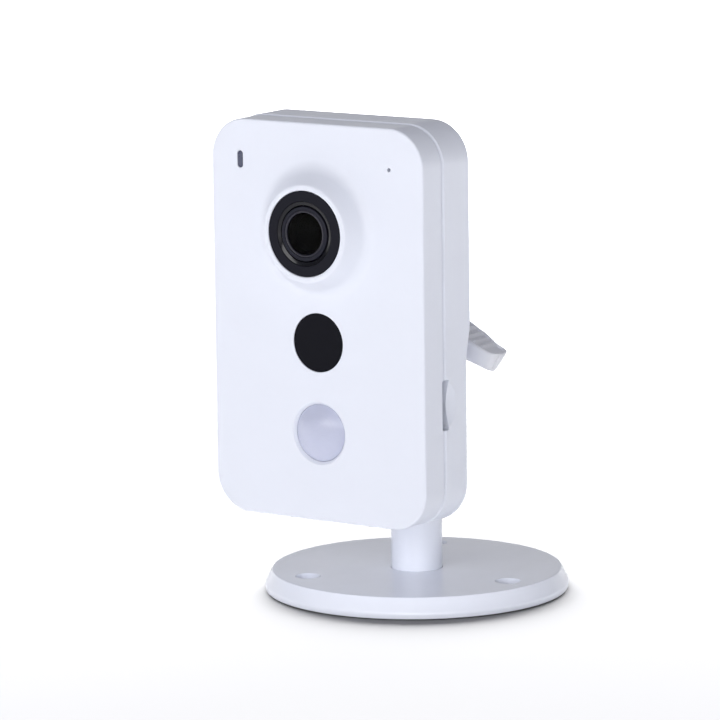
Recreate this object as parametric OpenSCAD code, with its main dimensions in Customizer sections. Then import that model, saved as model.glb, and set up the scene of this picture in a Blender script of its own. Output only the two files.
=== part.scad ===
// Indoor cube-style security camera: a flat upright head on a ball joint, over a round stand.
// The origin is the centre of the stand's underside, on the post's axis.
// +Z is up and the lens looks along -Y. All lengths are in millimetres.

/* [Head] */
// Width of the head
head_w = 65; // [64:0.5:67]
// Height of the head
head_h = 102.2; // [102:0.2:104]
// Height of the head's lower edge over the table
head_bottom_z = 25.7; // [24:0.1:27]
// Corner radius of the head, seen from the front
corner_r = 10.2; // [9.4:0.2:10.6]
// Distance from the post's axis forward to the front face
face_reach = 44; // [43.8:0.1:44.2]
// Depth of the head in its upper half
depth_top = 20.9; // [20.7:0.1:21.1]
// Depth of the head in its lower half
depth_low = 19; // [18.8:0.1:19.2]
// Depth of the front cover, from the face to the seam
seam_depth = 8.6; // [8.5:0.1:8.8]
// Wall thickness of both covers
wall = 1.8; // [1.7:0.1:1.9]

/* [Face] */
// Height of the lens axis over the table
lens_z = 100.4; // [100:0.2:101]
// Radius of the lens boss where it leaves the face
boss_base_r = 16; // [15.6:0.1:16.2]
// Radius of the lens boss at its lip
boss_lip_r = 12.4; // [12.2:0.1:12.6]
// How far the lens boss stands out of the face
boss_h = 5.6; // [5.4:0.1:5.8]
// Outer radius of the black lens bezel
bezel_r = 10.95; // [10.8:0.05:11.1]
// Height of the infrared window's centre
window_z = 71.8; // [71.4:0.1:72.2]
// Radius of the infrared window
window_r = 7.55; // [7.4:0.05:7.7]
// Height of the motion lens's centre
motion_z = 48.4; // [48:0.1:48.8]
// Radius of the motion lens
motion_r = 7.4; // [7.2:0.05:7.5]
// Sideways distance of the status light from the middle
status_x = 23.5; // [23:0.1:24]
// Height of the status light and the microphone hole
status_z = 117.4; // [117:0.1:118]
// Sideways distance of the microphone hole from the middle
mic_x = 22.3; // [22:0.1:22.8]

/* [Stand] */
// Largest radius of the round base
base_r = 40.1; // [39.8:0.1:41]
// Radius of the base's flat top
base_top_r = 38.1; // [37.8:0.1:38.4]
// Height of the base's top over the table
base_h = 5.7; // [5.6:0.1:6]
// Radius of the post
post_r = 6.75; // [6.6:0.05:6.9]
// Radius of the circle through the base's screw holes
hole_circle_r = 30.5; // [29.5:0.5:31]
// Radius of the base's screw holes
hole_r = 1.9; // [1.7:0.1:2.2]
// Turn of the screw-hole pattern about the post
hole_turn = -5.5; // [-30:0.5:30]

/* [Ball joint] */
// Radius of the ball
ball_r = 7.5; // [7.3:0.1:7.5]
// Radius of the neck under the ball
neck_r = 4.5; // [4.2:0.1:4.5]
// Outer radius of the ball socket
socket_r = 12.25; // [12.1:0.05:12.4]
// Gap between two surfaces that slide on each other
gap = 0.3; // [0.25:0.05:0.3]
// Distance from the joint's axis to the lever's tip
lever_reach = 37.4; // [36:0.1:39]
// Angle of the lever below the horizontal
lever_drop = 18.5; // [0:0.5:20]

/* [Hidden] */
$fn = 64;
little = 0.05;
fit = 0.08;
through = 1;

// Planes of the head
face_y = -face_reach;
seam_y = face_y + seam_depth;
rear_top_y = face_y + depth_top;
rear_low_y = face_y + depth_low;
head_mid_z = head_bottom_z + head_h / 2;
head_top_z = head_bottom_z + head_h;
ball_z = head_mid_z;
seam_gap = 0.3;
step_low_z = head_mid_z - 11;
step_top_z = head_mid_z + 1;
step_parts = 12;
inner_half_w = head_w / 2 - wall;

// Lens, from the bezel back to the image sensor
boss_y = face_y - boss_h;
bezel_back_y = boss_y + 4.1;
bezel_chamfer = 0.2;
bezel_dish_w = 1;
bezel_dish_h = 0.45;
barrel_front_y = boss_y + 0.15;
barrel_head_h = 4.95;
barrel_shoulder_y = barrel_front_y + barrel_head_h;
barrel_thread_h = 8.5;
barrel_back_y = barrel_shoulder_y + barrel_thread_h;
barrel_head_r = 7;
barrel_hole_r = barrel_head_r + 0.7;
barrel_r = 5.95;
glass_bore_r = 6;
glass_bore_y = barrel_front_y + 2.5;
glass_rim_t = 1;
glass_view_r = 5.4;
glass_rise = 0.3;
glass_dome_r = (pow(glass_view_r, 2) + pow(glass_rise, 2)) / (2 * glass_rise);
inner_bore_r = 4.7;
holder_front_y = -41.4;
holder_r = 8;
sensor_t = 1.2;
led_t = 0.8;

// Openings in the face
window_t = 1.5;
window_inset = 0.1;
window_ledge = 1;
motion_chamfer = 0.7;
motion_shell = 0.8;
motion_rim_y = face_y + 0.75;
motion_rise = 2.4;
status_w = 1.6;
status_h = 4.36;
mic_hole_r = 0.5;
mic_r = 2.9;
mic_front_y = face_y + wall + 0.8;

// Boards
main_board_y = -30.2;
board_t = 1.2;
main_board_back_y = main_board_y + board_t;
main_board_low_z = 84;
main_board_w = 57.2;
main_board_h = 41;
io_board_y = -38.6;
io_board_back_y = io_board_y + board_t;
io_board_low_z = 29;
io_board_w = 56;
io_board_h = 52.5;
main_screw_places = [[-24.5, 87], [24.5, 87], [-12, 122.3], [12, 122.3]];
io_screw_places = [[-24.5, 77.5], [24.5, 77.5], [-24.5, 45], [26, 47.6]];
cover_screw_places = [[-26.5, 33.3], [26.5, 33.3], [-26.5, 106.5], [26.5, 106.5]];
board_screw_head_r = 2;
board_screw_head_h = 1.2;
processor_place = [20, 95.7];
wifi_place = [-20, 95.7];
module_w = 12;
sink_w = 11.5;
processor_t = 1.4;
screw_r = 1.25;
screw_hole_r = screw_r + little;
boss_post_r = 3;
counterbore_r = 2.6;
counterbore_d = 2.4;
cover_post_y = -31.2;
rear_post_r = 3.4;
skin = 0.7;

// Filter changer behind the lens
filter_front_y = -35;
filter_back_y = -31.8;
filter_pitch = 6.9;
filter_pane = 6.1;

// Ports, buttons and the card slot
jack = [15, 40];
jack_w = 16;
jack_h = 13.4;
jack_mouth_w = 11.8;
jack_mouth_h = 8;
jack_face_y = rear_low_y - 0.3;
power = [-15, 38.5];
wps = [-19, 54];
reset = [-9.5, 54];
button_travel_gap = 1.1;
switch_top_y = io_board_back_y + 3.1;
button_front_y = switch_top_y + button_travel_gap;
wps_r = 2.3;
reset_r = 1.1;
rear_proud = 0.3;
card_z = 57.2;
card_slot_h = 13;
card_slot_front_y = face_y + 7.9;
card_slot_back_y = face_y + 10.5;
scallop_r = 17.4;
scallop_depth = 1;
speaker = [-13, 111];
speaker_r = 9;

// Ball joint
socket_bore_r = ball_r + 1.85;
liner_in_r = ball_r + gap;
liner_out_r = socket_bore_r - gap;
plinth_r = 19;
plinth_y = rear_top_y + 1.6;
flange_r = 17.6;
flange_t = 2;
flange_y = rear_top_y - wall - flange_t;
socket_screw_r = 14.9;
socket_screw_places = [for (a = [45:90:315])
    [socket_screw_r * cos(a), ball_z + socket_screw_r * sin(a)]];
roll_room = 1.3;
slot_half = neck_r + roll_room + gap;
ring_front_y = plinth_y + 0.8;
ring_back_y = -10.2;
ring_r = 15.6;
ring_bore_r = socket_r + gap;
ring_groove_r = 14.4;
ring_groove_y = -13.6;
lever_front_y = -18;
lever_back_y = -8;
lever_tip_back_y = -9.9;
lever_taper = 10;
lever_root = 13.4;
lever_mid_v = 0.8;
lever_half_t = 2.3;
lever_parts = 12;
lever_ribs = 6;

// Stand
post_top_z = 57.5;
shoulder_z = post_top_z + gap;
ledge_z = 44;
spigot_z = ledge_z - gap;
washer_t = 0.7;
spigot_r = 3.5;
post_bore_r = spigot_r + fit;
post_cavity_r = 4.6;
post_flange_r = 14;
base_foot_z = 0.3;
base_edge_z = 1.3;
base_edge_r = 2;
base_edge_turn = 27;
base_plate_z = 3.3;
base_flange_z = 1.5;
base_edge_parts = 10;
pocket_in_r = 16.5;
pocket_out_r = 33.4;
pad_in_r = 34.6;
pad_out_r = 38.4;
pad_h = 1;
post_screw_circle_r = 10.4;

// A flat drawing in X and Z, made solid from y0 back to y1.
module slab(y0, y1) {
    translate([0, y1, 0]) rotate([90, 0, 0]) linear_extrude(y1 - y0) children();
}

// A round bar along Y.
module rod(r, y0, y1, at = [0, 0]) {
    translate([at.x, y0, at.y]) rotate([-90, 0, 0]) cylinder(r = r, h = y1 - y0);
}

// A cone along Y, with radius r0 at y0 and r1 at y1.
module taper(r0, r1, y0, y1, at = [0, 0]) {
    translate([at.x, y0, at.y]) rotate([-90, 0, 0]) cylinder(r1 = r0, r2 = r1, h = y1 - y0);
}

// A solid turned about an axis along Y, from [radius, y] points.
module turned(points, at = [0, 0]) {
    translate([at.x, 0, at.y]) rotate([-90, 0, 0]) rotate_extrude() polygon(points);
}

// A box w wide and h high about a place, from y0 back to y1.
module block(w, h, y0, y1, at = [0, 0]) {
    translate([at.x - w / 2, y0, at.y - h / 2]) cube([w, y1 - y0, h]);
}

// A tube of [inner, outer] radius along Y.
module ring(r_in, r_out, y0, y1, at = [0, 0]) {
    difference() {
        rod(r_out, y0, y1, at);
        rod(r_in, y0 - through, y1 + through, at);
    }
}

module rounded(w, h, r) {
    square([w - 2 * r, h], center = true);
    square([w, h - 2 * r], center = true);
    for (x = [-1, 1], y = [-1, 1]) translate([x * (w / 2 - r), y * (h / 2 - r)]) circle(r);
}

module pill(w, h) {
    square([w, h - w], center = true);
    for (y = [-1, 1]) translate([0, y * (h - w) / 2]) circle(w / 2);
}

// The head's outline from the front, drawn in by an inset.
module head_outline(inset) {
    translate([0, head_mid_z]) rounded(head_w - 2 * inset, head_h - 2 * inset, corner_r - inset);
}

// Everything in front of the head's rear face, which steps forward below the middle.
module before_rear_face(inset) {
    rear_edge = [for (i = [0:step_parts]) let (t = i / step_parts)
        [rear_low_y + (rear_top_y - rear_low_y) * (1 - cos(180 * t)) / 2 - inset,
         step_low_z + (step_top_z - step_low_z) * t]];
    low_z = head_bottom_z - through;
    top_z = head_top_z + through;
    outline = concat([[face_y - through, low_z], [rear_low_y - inset, low_z]], rear_edge,
        [[rear_top_y - inset, top_z], [face_y - through, top_z]]);
    translate([-head_w, 0, 0]) rotate([90, 0, 90]) linear_extrude(2 * head_w) polygon(outline);
}

function rear_face_y(z) = z > head_mid_z ? rear_top_y : rear_low_y;

// The card slot at the seam, with the thumb scallop behind it.
module card_slot() {
    translate([inner_half_w - through, card_slot_front_y, card_z - card_slot_h / 2])
        cube([wall + 2 * through, card_slot_back_y - card_slot_front_y, card_slot_h]);
}

module thumb_scallop() {
    translate([head_w / 2 - scallop_depth + scallop_r, card_slot_back_y - 3, card_z])
        sphere(scallop_r);
}

module front_cover() {
    io_post_r = 2.4;
    cover_screw_reach = 6.5;
    io_screw_reach = 3;
    color("white") difference() {
        union() {
            difference() {
                slab(face_y, seam_y - seam_gap / 2) head_outline(0);
                slab(face_y + wall, seam_y + through) head_outline(wall);
            }
            taper(boss_lip_r, boss_base_r, boss_y, face_y + little, [0, lens_z]);
            for (p = cover_screw_places) rod(boss_post_r, face_y + wall - little, cover_post_y, p);
            for (p = io_screw_places) rod(io_post_r, face_y + wall - little, io_board_y, p);
        }
        rod(bezel_r + little, boss_y - through, bezel_back_y, [0, lens_z]);
        rod(barrel_hole_r, boss_y, face_y + wall + through, [0, lens_z]);
        rod(window_r + little, face_y - through, face_y + window_t, [0, window_z]);
        rod(window_r - window_ledge, face_y, face_y + wall + through, [0, window_z]);
        rod(motion_r + little, face_y - through, face_y + wall + through, [0, motion_z]);
        taper(motion_r + motion_chamfer, motion_r, face_y - little, face_y + motion_chamfer - little,
            [0, motion_z]);
        slab(face_y - through, face_y + wall + through)
            translate([-status_x, status_z]) pill(status_w + 2 * little, status_h + 2 * little);
        rod(mic_hole_r, face_y - through, face_y + wall + through, [mic_x, status_z]);
        for (p = cover_screw_places) rod(screw_hole_r, cover_post_y - cover_screw_reach, 0, p);
        for (p = io_screw_places) rod(screw_hole_r, io_board_y - io_screw_reach, 0, p);
        card_slot();
    }
}

module speaker_grille() {
    pitch = 2.4;
    hole_r = 0.7;
    for (row = [-2:2], col = [-2:2]) {
        x = (col + row / 2) * pitch;
        z = row * pitch * sin(60);
        if (norm([x, z]) < 2.2 * pitch) {
            rod(hole_r, rear_top_y - wall - through, rear_top_y + through, speaker + [x, z]);
        }
    }
}

module rear_cover() {
    lip_t = 0.9;
    lip_front_y = seam_y - 1;
    lip_back_y = seam_y + 2;
    collar_front_y = rear_low_y - wall - 0.6;
    collar_t = 1.2;
    main_post_r = 2.2;
    power_hole_r = 3.5;
    color("white") difference() {
        union() {
            difference() {
                intersection() {
                    slab(seam_y + seam_gap / 2, rear_top_y) head_outline(-rear_proud);
                    before_rear_face(0);
                }
                intersection() {
                    slab(seam_y, rear_top_y) head_outline(wall);
                    before_rear_face(wall);
                }
            }
            difference() {
                slab(lip_front_y, lip_back_y) head_outline(wall + little);
                slab(lip_front_y - through, lip_back_y + through) head_outline(wall + lip_t);
            }
            slab(seam_y + seam_gap / 2, lip_back_y) difference() {
                head_outline(wall - little);
                head_outline(wall + lip_t);
            }
            rod(plinth_r, rear_low_y - wall, plinth_y, [0, ball_z]);
            for (p = cover_screw_places) {
                rod(rear_post_r, cover_post_y + gap, rear_face_y(p.y) - little, p);
            }
            for (p = main_screw_places) {
                rod(main_post_r, main_board_back_y, rear_top_y - wall + little, p);
            }
            rod(wps_r + gap + collar_t, collar_front_y, rear_low_y - little, wps);
            rod(reset_r + gap + collar_t, collar_front_y, rear_low_y - little, reset);
        }
        rod(socket_r + 2 * little, seam_y, plinth_y + through, [0, ball_z]);
        rod(flange_r + 2 * little, seam_y, rear_top_y - wall, [0, ball_z]);
        for (p = socket_screw_places) rod(screw_hole_r, seam_y, plinth_y - skin, p);
        for (p = cover_screw_places) {
            rod(counterbore_r, rear_face_y(p.y) - counterbore_d, rear_face_y(p.y) + through, p);
            rod(screw_hole_r, cover_post_y - through, rear_face_y(p.y), p);
        }
        for (p = cover_screw_places) {
            rod(boss_post_r + gap, lip_front_y - through, cover_post_y + little, p);
        }
        for (p = main_screw_places) rod(screw_hole_r, main_board_y, rear_top_y - skin, p);
        block(jack_w + gap, jack_h + gap, rear_low_y - wall - through, rear_low_y + through, jack);
        rod(power_hole_r, rear_low_y - wall - through, rear_low_y + through, power);
        rod(wps_r + gap, seam_y, rear_low_y + through, wps);
        rod(reset_r + gap, seam_y, rear_low_y + through, reset);
        speaker_grille();
        card_slot();
        thumb_scallop();
    }
}

module status_light_pipe() {
    flange_w = 0.7;
    flange_t = 0.8;
    color("slategray") translate([-status_x, 0, 0]) {
        slab(face_y + little, main_board_y - led_t - 0.5) translate([0, status_z]) {
            pill(status_w, status_h);
        }
        slab(face_y + wall, face_y + wall + flange_t) translate([0, status_z]) {
            pill(status_w + 2 * flange_w, status_h + 2 * flange_w);
        }
    }
}

module status_led() {
    color("ivory") block(2, 1.6, main_board_y - led_t, main_board_y, [-status_x, status_z]);
}

module microphone() {
    color("silver") rod(mic_r, mic_front_y, mic_front_y + 2.6, [mic_x, status_z]);
}

module microphone_boot() {
    back_y = mic_front_y + 3;
    color("dimgray") difference() {
        rod(mic_r + 1, face_y + wall, back_y, [mic_x, status_z]);
        rod(mic_r + little, mic_front_y - little, back_y + through, [mic_x, status_z]);
        rod(mic_hole_r + 0.1, face_y, mic_front_y + through, [mic_x, status_z]);
    }
}

// The bezel's flat front dips at its inner edge, round the head of the barrel.
module lens_bezel() {
    inner_r = barrel_head_r + gap;
    color("black") turned([[inner_r, bezel_back_y - little], [bezel_r, bezel_back_y - little],
        [bezel_r, boss_y + bezel_chamfer], [bezel_r - bezel_chamfer, boss_y],
        [inner_r + bezel_dish_w, boss_y], [inner_r, boss_y + bezel_dish_h]], [0, lens_z]);
}

module lens_barrel() {
    edge = 0.3;
    color("dimgray") turned([[inner_bore_r, barrel_back_y], [barrel_r, barrel_back_y],
        [barrel_r, barrel_shoulder_y], [barrel_head_r, barrel_shoulder_y],
        [barrel_head_r, barrel_front_y + edge], [barrel_head_r - edge, barrel_front_y],
        [glass_bore_r, barrel_front_y], [glass_bore_r, glass_bore_y],
        [inner_bore_r, glass_bore_y]], [0, lens_z]);
}

module lens_retaining_ring() {
    outer_r = glass_bore_r - little;
    front_y = barrel_front_y + little;
    back_y = glass_bore_y - glass_rim_t - 2 * little;
    chamfer = 0.15;
    color("black") turned([[glass_view_r, back_y], [outer_r, back_y], [outer_r, front_y],
        [glass_view_r + chamfer, front_y], [glass_view_r, front_y + chamfer]], [0, lens_z]);
}

module lens_front_glass() {
    flange_y = glass_bore_y - glass_rim_t - little;
    rim_y = barrel_front_y + glass_rise + 2 * little;
    outer_r = glass_bore_r - little;
    view_r = glass_view_r - little;
    parts = 10;
    bulge = [for (i = [parts:-1:0]) let (r = view_r * i / parts)
        [r, rim_y - glass_rise + glass_dome_r - sqrt(pow(glass_dome_r, 2) - pow(r, 2))]];
    color("midnightblue") turned(concat([[0, glass_bore_y - little],
        [outer_r, glass_bore_y - little], [outer_r, flange_y], [view_r, flange_y]],
        bulge), [0, lens_z]);
}

module lens_inner_glass() {
    thickness = 2;
    front_y = glass_bore_y + 1.3;
    back_y = barrel_back_y - 1;
    color("lightblue") {
        rod(inner_bore_r - little, front_y, front_y + thickness, [0, lens_z]);
        rod(inner_bore_r - little, back_y - thickness, back_y, [0, lens_z]);
    }
}

module lens_holder() {
    flange_w = 22;
    color("dimgray") difference() {
        union() {
            rod(holder_r, holder_front_y, filter_front_y, [0, lens_z]);
            block(flange_w, 2 * holder_r, filter_front_y - 1.2, filter_front_y, [0, lens_z]);
        }
        rod(barrel_r + little, holder_front_y - through, filter_front_y + through, [0, lens_z]);
    }
}

module ir_cut_frame() {
    track_w = 23.2;
    track_h = 9.8;
    light_hole_r = 4.2;
    color("black") difference() {
        union() {
            block(26, 17, filter_front_y, filter_back_y, [0, lens_z]);
            block(13, 12, filter_back_y - little, main_board_y, [0, lens_z]);
        }
        block(track_w, track_h, filter_front_y + 0.7, filter_back_y - 0.5, [0, lens_z]);
        rod(light_hole_r, filter_front_y - through, filter_back_y, [0, lens_z]);
        block(10, 9, filter_back_y - 0.6, main_board_y + through, [0, lens_z]);
    }
}

module filter_place(n) {
    translate([n * filter_pitch, 0, 0]) children();
}

module pane() {
    block(filter_pane, filter_pane, filter_front_y + 1.3, filter_back_y - 1.1, [0, lens_z]);
}

module ir_cut_slider() {
    color("gainsboro") difference() {
        block(15.4, 9.2, filter_front_y + 1, filter_back_y - 0.8, [filter_pitch / 2, lens_z]);
        for (n = [0, 1]) filter_place(n) {
            block(filter_pane + 2 * little, filter_pane + 2 * little, filter_front_y,
                filter_back_y, [0, lens_z]);
        }
    }
}

module ir_cut_glass() {
    color("lightcyan") filter_place(0) pane();
}

module clear_glass() {
    color("white") filter_place(1) pane();
}

module ir_cut_coil() {
    coil_w = 9;
    cheek_t = 0.8;
    coil_z = lens_z - 10.8;
    color("peru") translate([-coil_w / 2, (filter_front_y + filter_back_y) / 2, coil_z])
        rotate([0, 90, 0]) cylinder(r = 1.5, h = coil_w);
    color("dimgray") for (side = [-1, 1]) {
        block(cheek_t, 4.4, filter_front_y, filter_back_y,
            [side * (coil_w + cheek_t) / 2, coil_z + 0.1]);
    }
}

module image_sensor() {
    color("darkslategray") block(8, 6.6, main_board_y - sensor_t, main_board_y, [0, lens_z]);
}

module main_board() {
    mid_z = main_board_low_z + main_board_h / 2;
    color("darkgreen") difference() {
        slab(main_board_y, main_board_back_y) translate([0, mid_z]) {
            rounded(main_board_w, main_board_h, 6);
        }
        for (p = main_screw_places) {
            rod(screw_hole_r, main_board_y - through, main_board_back_y + through, p);
        }
        for (p = cover_screw_places) {
            rod(rear_post_r + 1, main_board_y - through, main_board_back_y + through, p);
        }
    }
}

module processor() {
    color("black") block(module_w, module_w, main_board_y - processor_t, main_board_y, processor_place);
}

module heat_sink() {
    fin_w = 1.1;
    fin_pitch = 2.6;
    back_y = main_board_y - processor_t;
    plate_y = back_y - 1.5;
    front_y = back_y - 4.6;
    color("silver") {
        block(sink_w, sink_w, plate_y, back_y, processor_place);
        for (i = [-2:2]) {
            block(fin_w, sink_w, front_y, plate_y + little, processor_place + [i * fin_pitch, 0]);
        }
    }
}

module wifi_module() {
    color("lightgray") block(module_w, module_w, main_board_y - 2.2, main_board_y, wifi_place);
}

module wifi_antenna() {
    color("goldenrod") block(30, 0.6, face_y + 3.2, face_y + 7.4, [0, head_top_z - wall - 0.3]);
}

module antenna_lead() {
    route = [[-14, face_y + 5.5, head_top_z - wall - 1.2], [-14, face_y + 6.5, 117],
        [-18, -35, 108], [-20, -33.3, 98], [-20, -33.3, 94]];
    lead_r = 0.55;
    color("black") for (i = [0:len(route) - 2]) {
        run = route[i + 1] - route[i];
        translate(route[i]) rotate([0, acos(run.z / norm(run)), atan2(run.y, run.x)])
            translate([0, 0, -lead_r / 2]) cylinder(r = lead_r, h = norm(run) + lead_r, $fn = 8);
    }
}

module ir_window() {
    color("black") rod(window_r, face_y + window_inset, face_y + window_t, [0, window_z]);
}

module ir_led() {
    body_t = 1.2;
    color("gold") {
        block(3.6, 3.6, io_board_y - body_t, io_board_y, [0, window_z]);
        translate([0, io_board_y - body_t - 0.4, window_z]) sphere(1.5);
    }
}

module light_sensor() {
    color("lightgray") block(2.4, 1.8, io_board_y - 0.9, io_board_y, [4.4, window_z - 4.2]);
}

module motion_lens() {
    lip_w = 1;
    dome_r = (pow(motion_r, 2) + pow(motion_rise, 2)) / (2 * motion_rise);
    top_y = motion_rim_y - motion_rise;
    inner_r = motion_r - motion_shell;
    color("lavender") difference() {
        union() {
            intersection() {
                rod(motion_r, top_y - through, face_y + wall, [0, motion_z]);
                translate([0, top_y + dome_r, motion_z]) sphere(dome_r);
            }
            rod(motion_r, motion_rim_y + little, face_y + wall, [0, motion_z]);
            rod(motion_r + lip_w, face_y + wall, face_y + wall + motion_shell, [0, motion_z]);
        }
        intersection() {
            rod(inner_r, top_y, face_y + wall + through, [0, motion_z]);
            translate([0, top_y + dome_r, motion_z]) sphere(dome_r - motion_shell);
        }
        rod(inner_r, motion_rim_y + motion_shell, face_y + wall + 2 * through, [0, motion_z]);
    }
}

module motion_sensor() {
    can_r = 4.1;
    color("silver") {
        rod(can_r, io_board_y - 4, io_board_y, [0, motion_z]);
        rod(can_r + 0.5, io_board_y - 0.6, io_board_y, [0, motion_z]);
    }
}

module io_board() {
    mid_z = io_board_low_z + io_board_h / 2;
    color("darkgreen") difference() {
        slab(io_board_y, io_board_back_y) translate([0, mid_z]) rounded(io_board_w, io_board_h, 6);
        for (p = io_screw_places) {
            rod(screw_hole_r, io_board_y - through, io_board_back_y + through, p);
        }
        for (p = cover_screw_places) {
            rod(boss_post_r + 2 * gap, io_board_y - through, io_board_back_y + through, p);
        }
    }
}

module ribbon_cable() {
    t = 0.3;
    low = [io_board_back_y, 70];
    bend = [io_board_back_y, 80.5];
    reach = [main_board_y - t, 86];
    high = [main_board_y - t, 90.5];
    outline = [low, bend, reach, high, high + [t, 0], reach + [t, -0.1], bend + [t, -0.2],
        low + [t, 0]];
    color("orange") translate([-5, 0, 0]) rotate([90, 0, 90]) linear_extrude(10) polygon(outline);
}

module ethernet_jack() {
    color("dimgray") difference() {
        block(jack_w, jack_h, io_board_back_y, jack_face_y, jack);
        block(jack_mouth_w, jack_mouth_h, io_board_back_y + 1.4, jack_face_y + through, jack);
        block(6, 3, io_board_back_y + 1.4, jack_face_y + through, jack - [0, 4.6]);
    }
}

module ethernet_contacts() {
    pitch = 1.02;
    color("gold") for (i = [0:7]) {
        block(0.4, 0.5, io_board_back_y + 1.4, jack_face_y - 3.5,
            jack + [(i - 3.5) * pitch, jack_mouth_h / 2 - 0.25]);
    }
}

module power_jack() {
    color("black") difference() {
        block(9.4, 11, io_board_back_y, rear_low_y - wall, power);
        rod(3.15, io_board_back_y + 1.8, rear_low_y, power);
    }
}

module power_pin() {
    color("silver") rod(1, io_board_back_y + 1.8, rear_low_y - 1.4, power);
}

module card_socket() {
    mouth_x = inner_half_w - 1.2;
    length = 14.6;
    front_y = io_board_back_y;
    width = 14.2;
    card_w = 11.4;
    card_y = front_y + 1.5;
    color("silver") difference() {
        translate([mouth_x - length, front_y, card_z - width / 2]) cube([length, 3.2, width]);
        translate([mouth_x - length + 1.5, card_y, card_z - card_w / 2]) cube([length, 1.2, card_w]);
    }
}

module tact_switches() {
    color("black") for (p = [wps, reset]) {
        block(6, 6, io_board_back_y, switch_top_y - 0.7, p);
        rod(1.3, switch_top_y - 0.7 - little, switch_top_y, p);
    }
}

module push_button(r, top_y) {
    flange_y = rear_low_y - wall - 2.4;
    rod(r, button_front_y, top_y, [0, 0]);
    rod(r + 0.9, flange_y, flange_y + 0.8, [0, 0]);
}

module reset_button() {
    color("gray") translate([reset.x, 0, reset.y]) push_button(reset_r, rear_low_y - 0.9);
}

module wps_button() {
    color("lightgray") translate([wps.x, 0, wps.y]) push_button(wps_r, rear_low_y + 0.5);
}

module speaker() {
    cone_y = rear_top_y - wall;
    color("dimgray") difference() {
        union() {
            rod(speaker_r, cone_y - 1.4, cone_y, speaker);
            rod(5.5, cone_y - 3.2, cone_y - 1.4 + little, speaker);
        }
        taper(1.5, speaker_r - 1.4, cone_y - 1.1, cone_y + little, speaker);
    }
}

// A screw whose head starts at head_y, with its point towards -Y or, with way = 1, towards +Y.
module screw(p, head_y, length, head_r, head_h, way = -1) {
    recess_r = 1.1;
    translate([p.x, head_y, p.y]) rotate([way < 0 ? 90 : -90, 0, 0]) {
        difference() {
            translate([0, 0, -head_h]) cylinder(r = head_r, h = head_h);
            translate([0, 0, -head_h - through]) cylinder(r = recess_r, h = through + 0.6, $fn = 4);
        }
        cylinder(r = screw_r, h = length);
    }
}

module cover_screws() {
    color("silver") for (p = cover_screw_places) {
        screw(p, rear_face_y(p.y) - counterbore_d, 8.5, 2.3, 1.4);
    }
}

module board_screws() {
    color("silver") {
        for (p = main_screw_places) {
            screw(p, main_board_y, 4.4, board_screw_head_r, board_screw_head_h, 1);
        }
        for (p = io_screw_places) {
            screw(p, io_board_back_y, 3.6, board_screw_head_r, board_screw_head_h);
        }
    }
}

module socket_screws() {
    color("silver") for (p = socket_screw_places) {
        screw(p, flange_y, 4.6, board_screw_head_r, board_screw_head_h, 1);
    }
}

module at_ball() {
    translate([0, 0, ball_z]) children();
}

// The way that the neck takes through a round shell: from straight down to straight back.
module neck_slot(half_w, reach, front_y, top_z) {
    translate([-half_w, front_y, -reach]) cube([2 * half_w, reach - front_y, reach]);
    translate([-half_w, 0, -through]) cube([2 * half_w, reach, through + top_z]);
}

module ball_socket() {
    slot_front_y = -8.4;
    color("whitesmoke") difference() {
        union() {
            rod(flange_r, flange_y, flange_y + flange_t, [0, ball_z]);
            rod(socket_r, flange_y, 0, [0, ball_z]);
            at_ball() sphere(socket_r);
        }
        rod(socket_bore_r, flange_y - through, 0, [0, ball_z]);
        at_ball() sphere(socket_bore_r);
        at_ball() neck_slot(slot_half, socket_r + through, slot_front_y, neck_r + 2 * gap);
        for (p = socket_screw_places) {
            rod(screw_hole_r, flange_y - through, flange_y + flange_t + through, p);
        }
    }
}

module ball_retainer() {
    cavity_r = 3;
    cavity_back_y = -11;
    color("dimgray") difference() {
        rod(socket_bore_r - 2 * little, flange_y, -ball_r, [0, ball_z]);
        at_ball() sphere(socket_bore_r);
        rod(cavity_r, flange_y - through, cavity_back_y, [0, ball_z]);
    }
}

module friction_liner() {
    slot_front_y = -7.4;
    color("dimgray") at_ball() difference() {
        sphere(liner_out_r);
        sphere(liner_in_r);
        neck_slot(neck_r + gap, liner_out_r + through, slot_front_y, neck_r + gap);
    }
}

module thrust_ring() {
    color("silver") at_ball()
        ring(ring_bore_r, ring_groove_r - gap, ring_groove_y + gap, ring_back_y - skin);
}

// Points on a round corner of radius r about a place, from angle a0 to a1.
function arc(at, r, a0, a1, parts = 6) = [for (i = [0:parts]) let (a = a0 + (a1 - a0) * i / parts)
    at + r * [cos(a), sin(a)]];

function lever_u(i) = lever_root + (lever_reach - lever_root) * i / lever_parts;
function lever_flare(u) = max(0, lever_reach - lever_half_t - u) / (lever_reach - lever_root);
function lever_top(u) = lever_mid_v + lever_half_t + 5 * pow(lever_flare(u), 1.6);
function lever_bottom(u) = lever_mid_v - lever_half_t - pow(lever_flare(u), 2);

// The lever lies along +X here, and the clamp ring turns it down to its place.
module lever() {
    front_r = 2.5;
    back_r = 3;
    top_edge = [for (i = [0:lever_parts]) [lever_u(i), lever_top(lever_u(i))]];
    bottom_edge = [for (i = [lever_parts:-1:0]) [lever_u(i), lever_bottom(lever_u(i))]];
    plan = concat([[lever_root, lever_front_y]],
        arc([lever_reach - front_r, lever_front_y + front_r], front_r, -90, 0),
        arc([lever_reach - back_r, lever_tip_back_y - back_r], back_r, 0, 90),
        [[lever_reach - lever_taper, lever_back_y], [lever_root, lever_back_y]]);
    intersection() {
        slab(lever_front_y, lever_back_y) polygon(concat(top_edge, bottom_edge));
        translate([0, 0, -lever_reach / 2]) linear_extrude(lever_reach) polygon(plan);
    }
    for (i = [0:lever_ribs - 1]) {
        u = lever_reach - 5.2 - 2.5 * i;
        rod(0.4, lever_front_y + 2.4, lever_tip_back_y - 0.9, [u, lever_top(u) - little]);
    }
}

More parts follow.
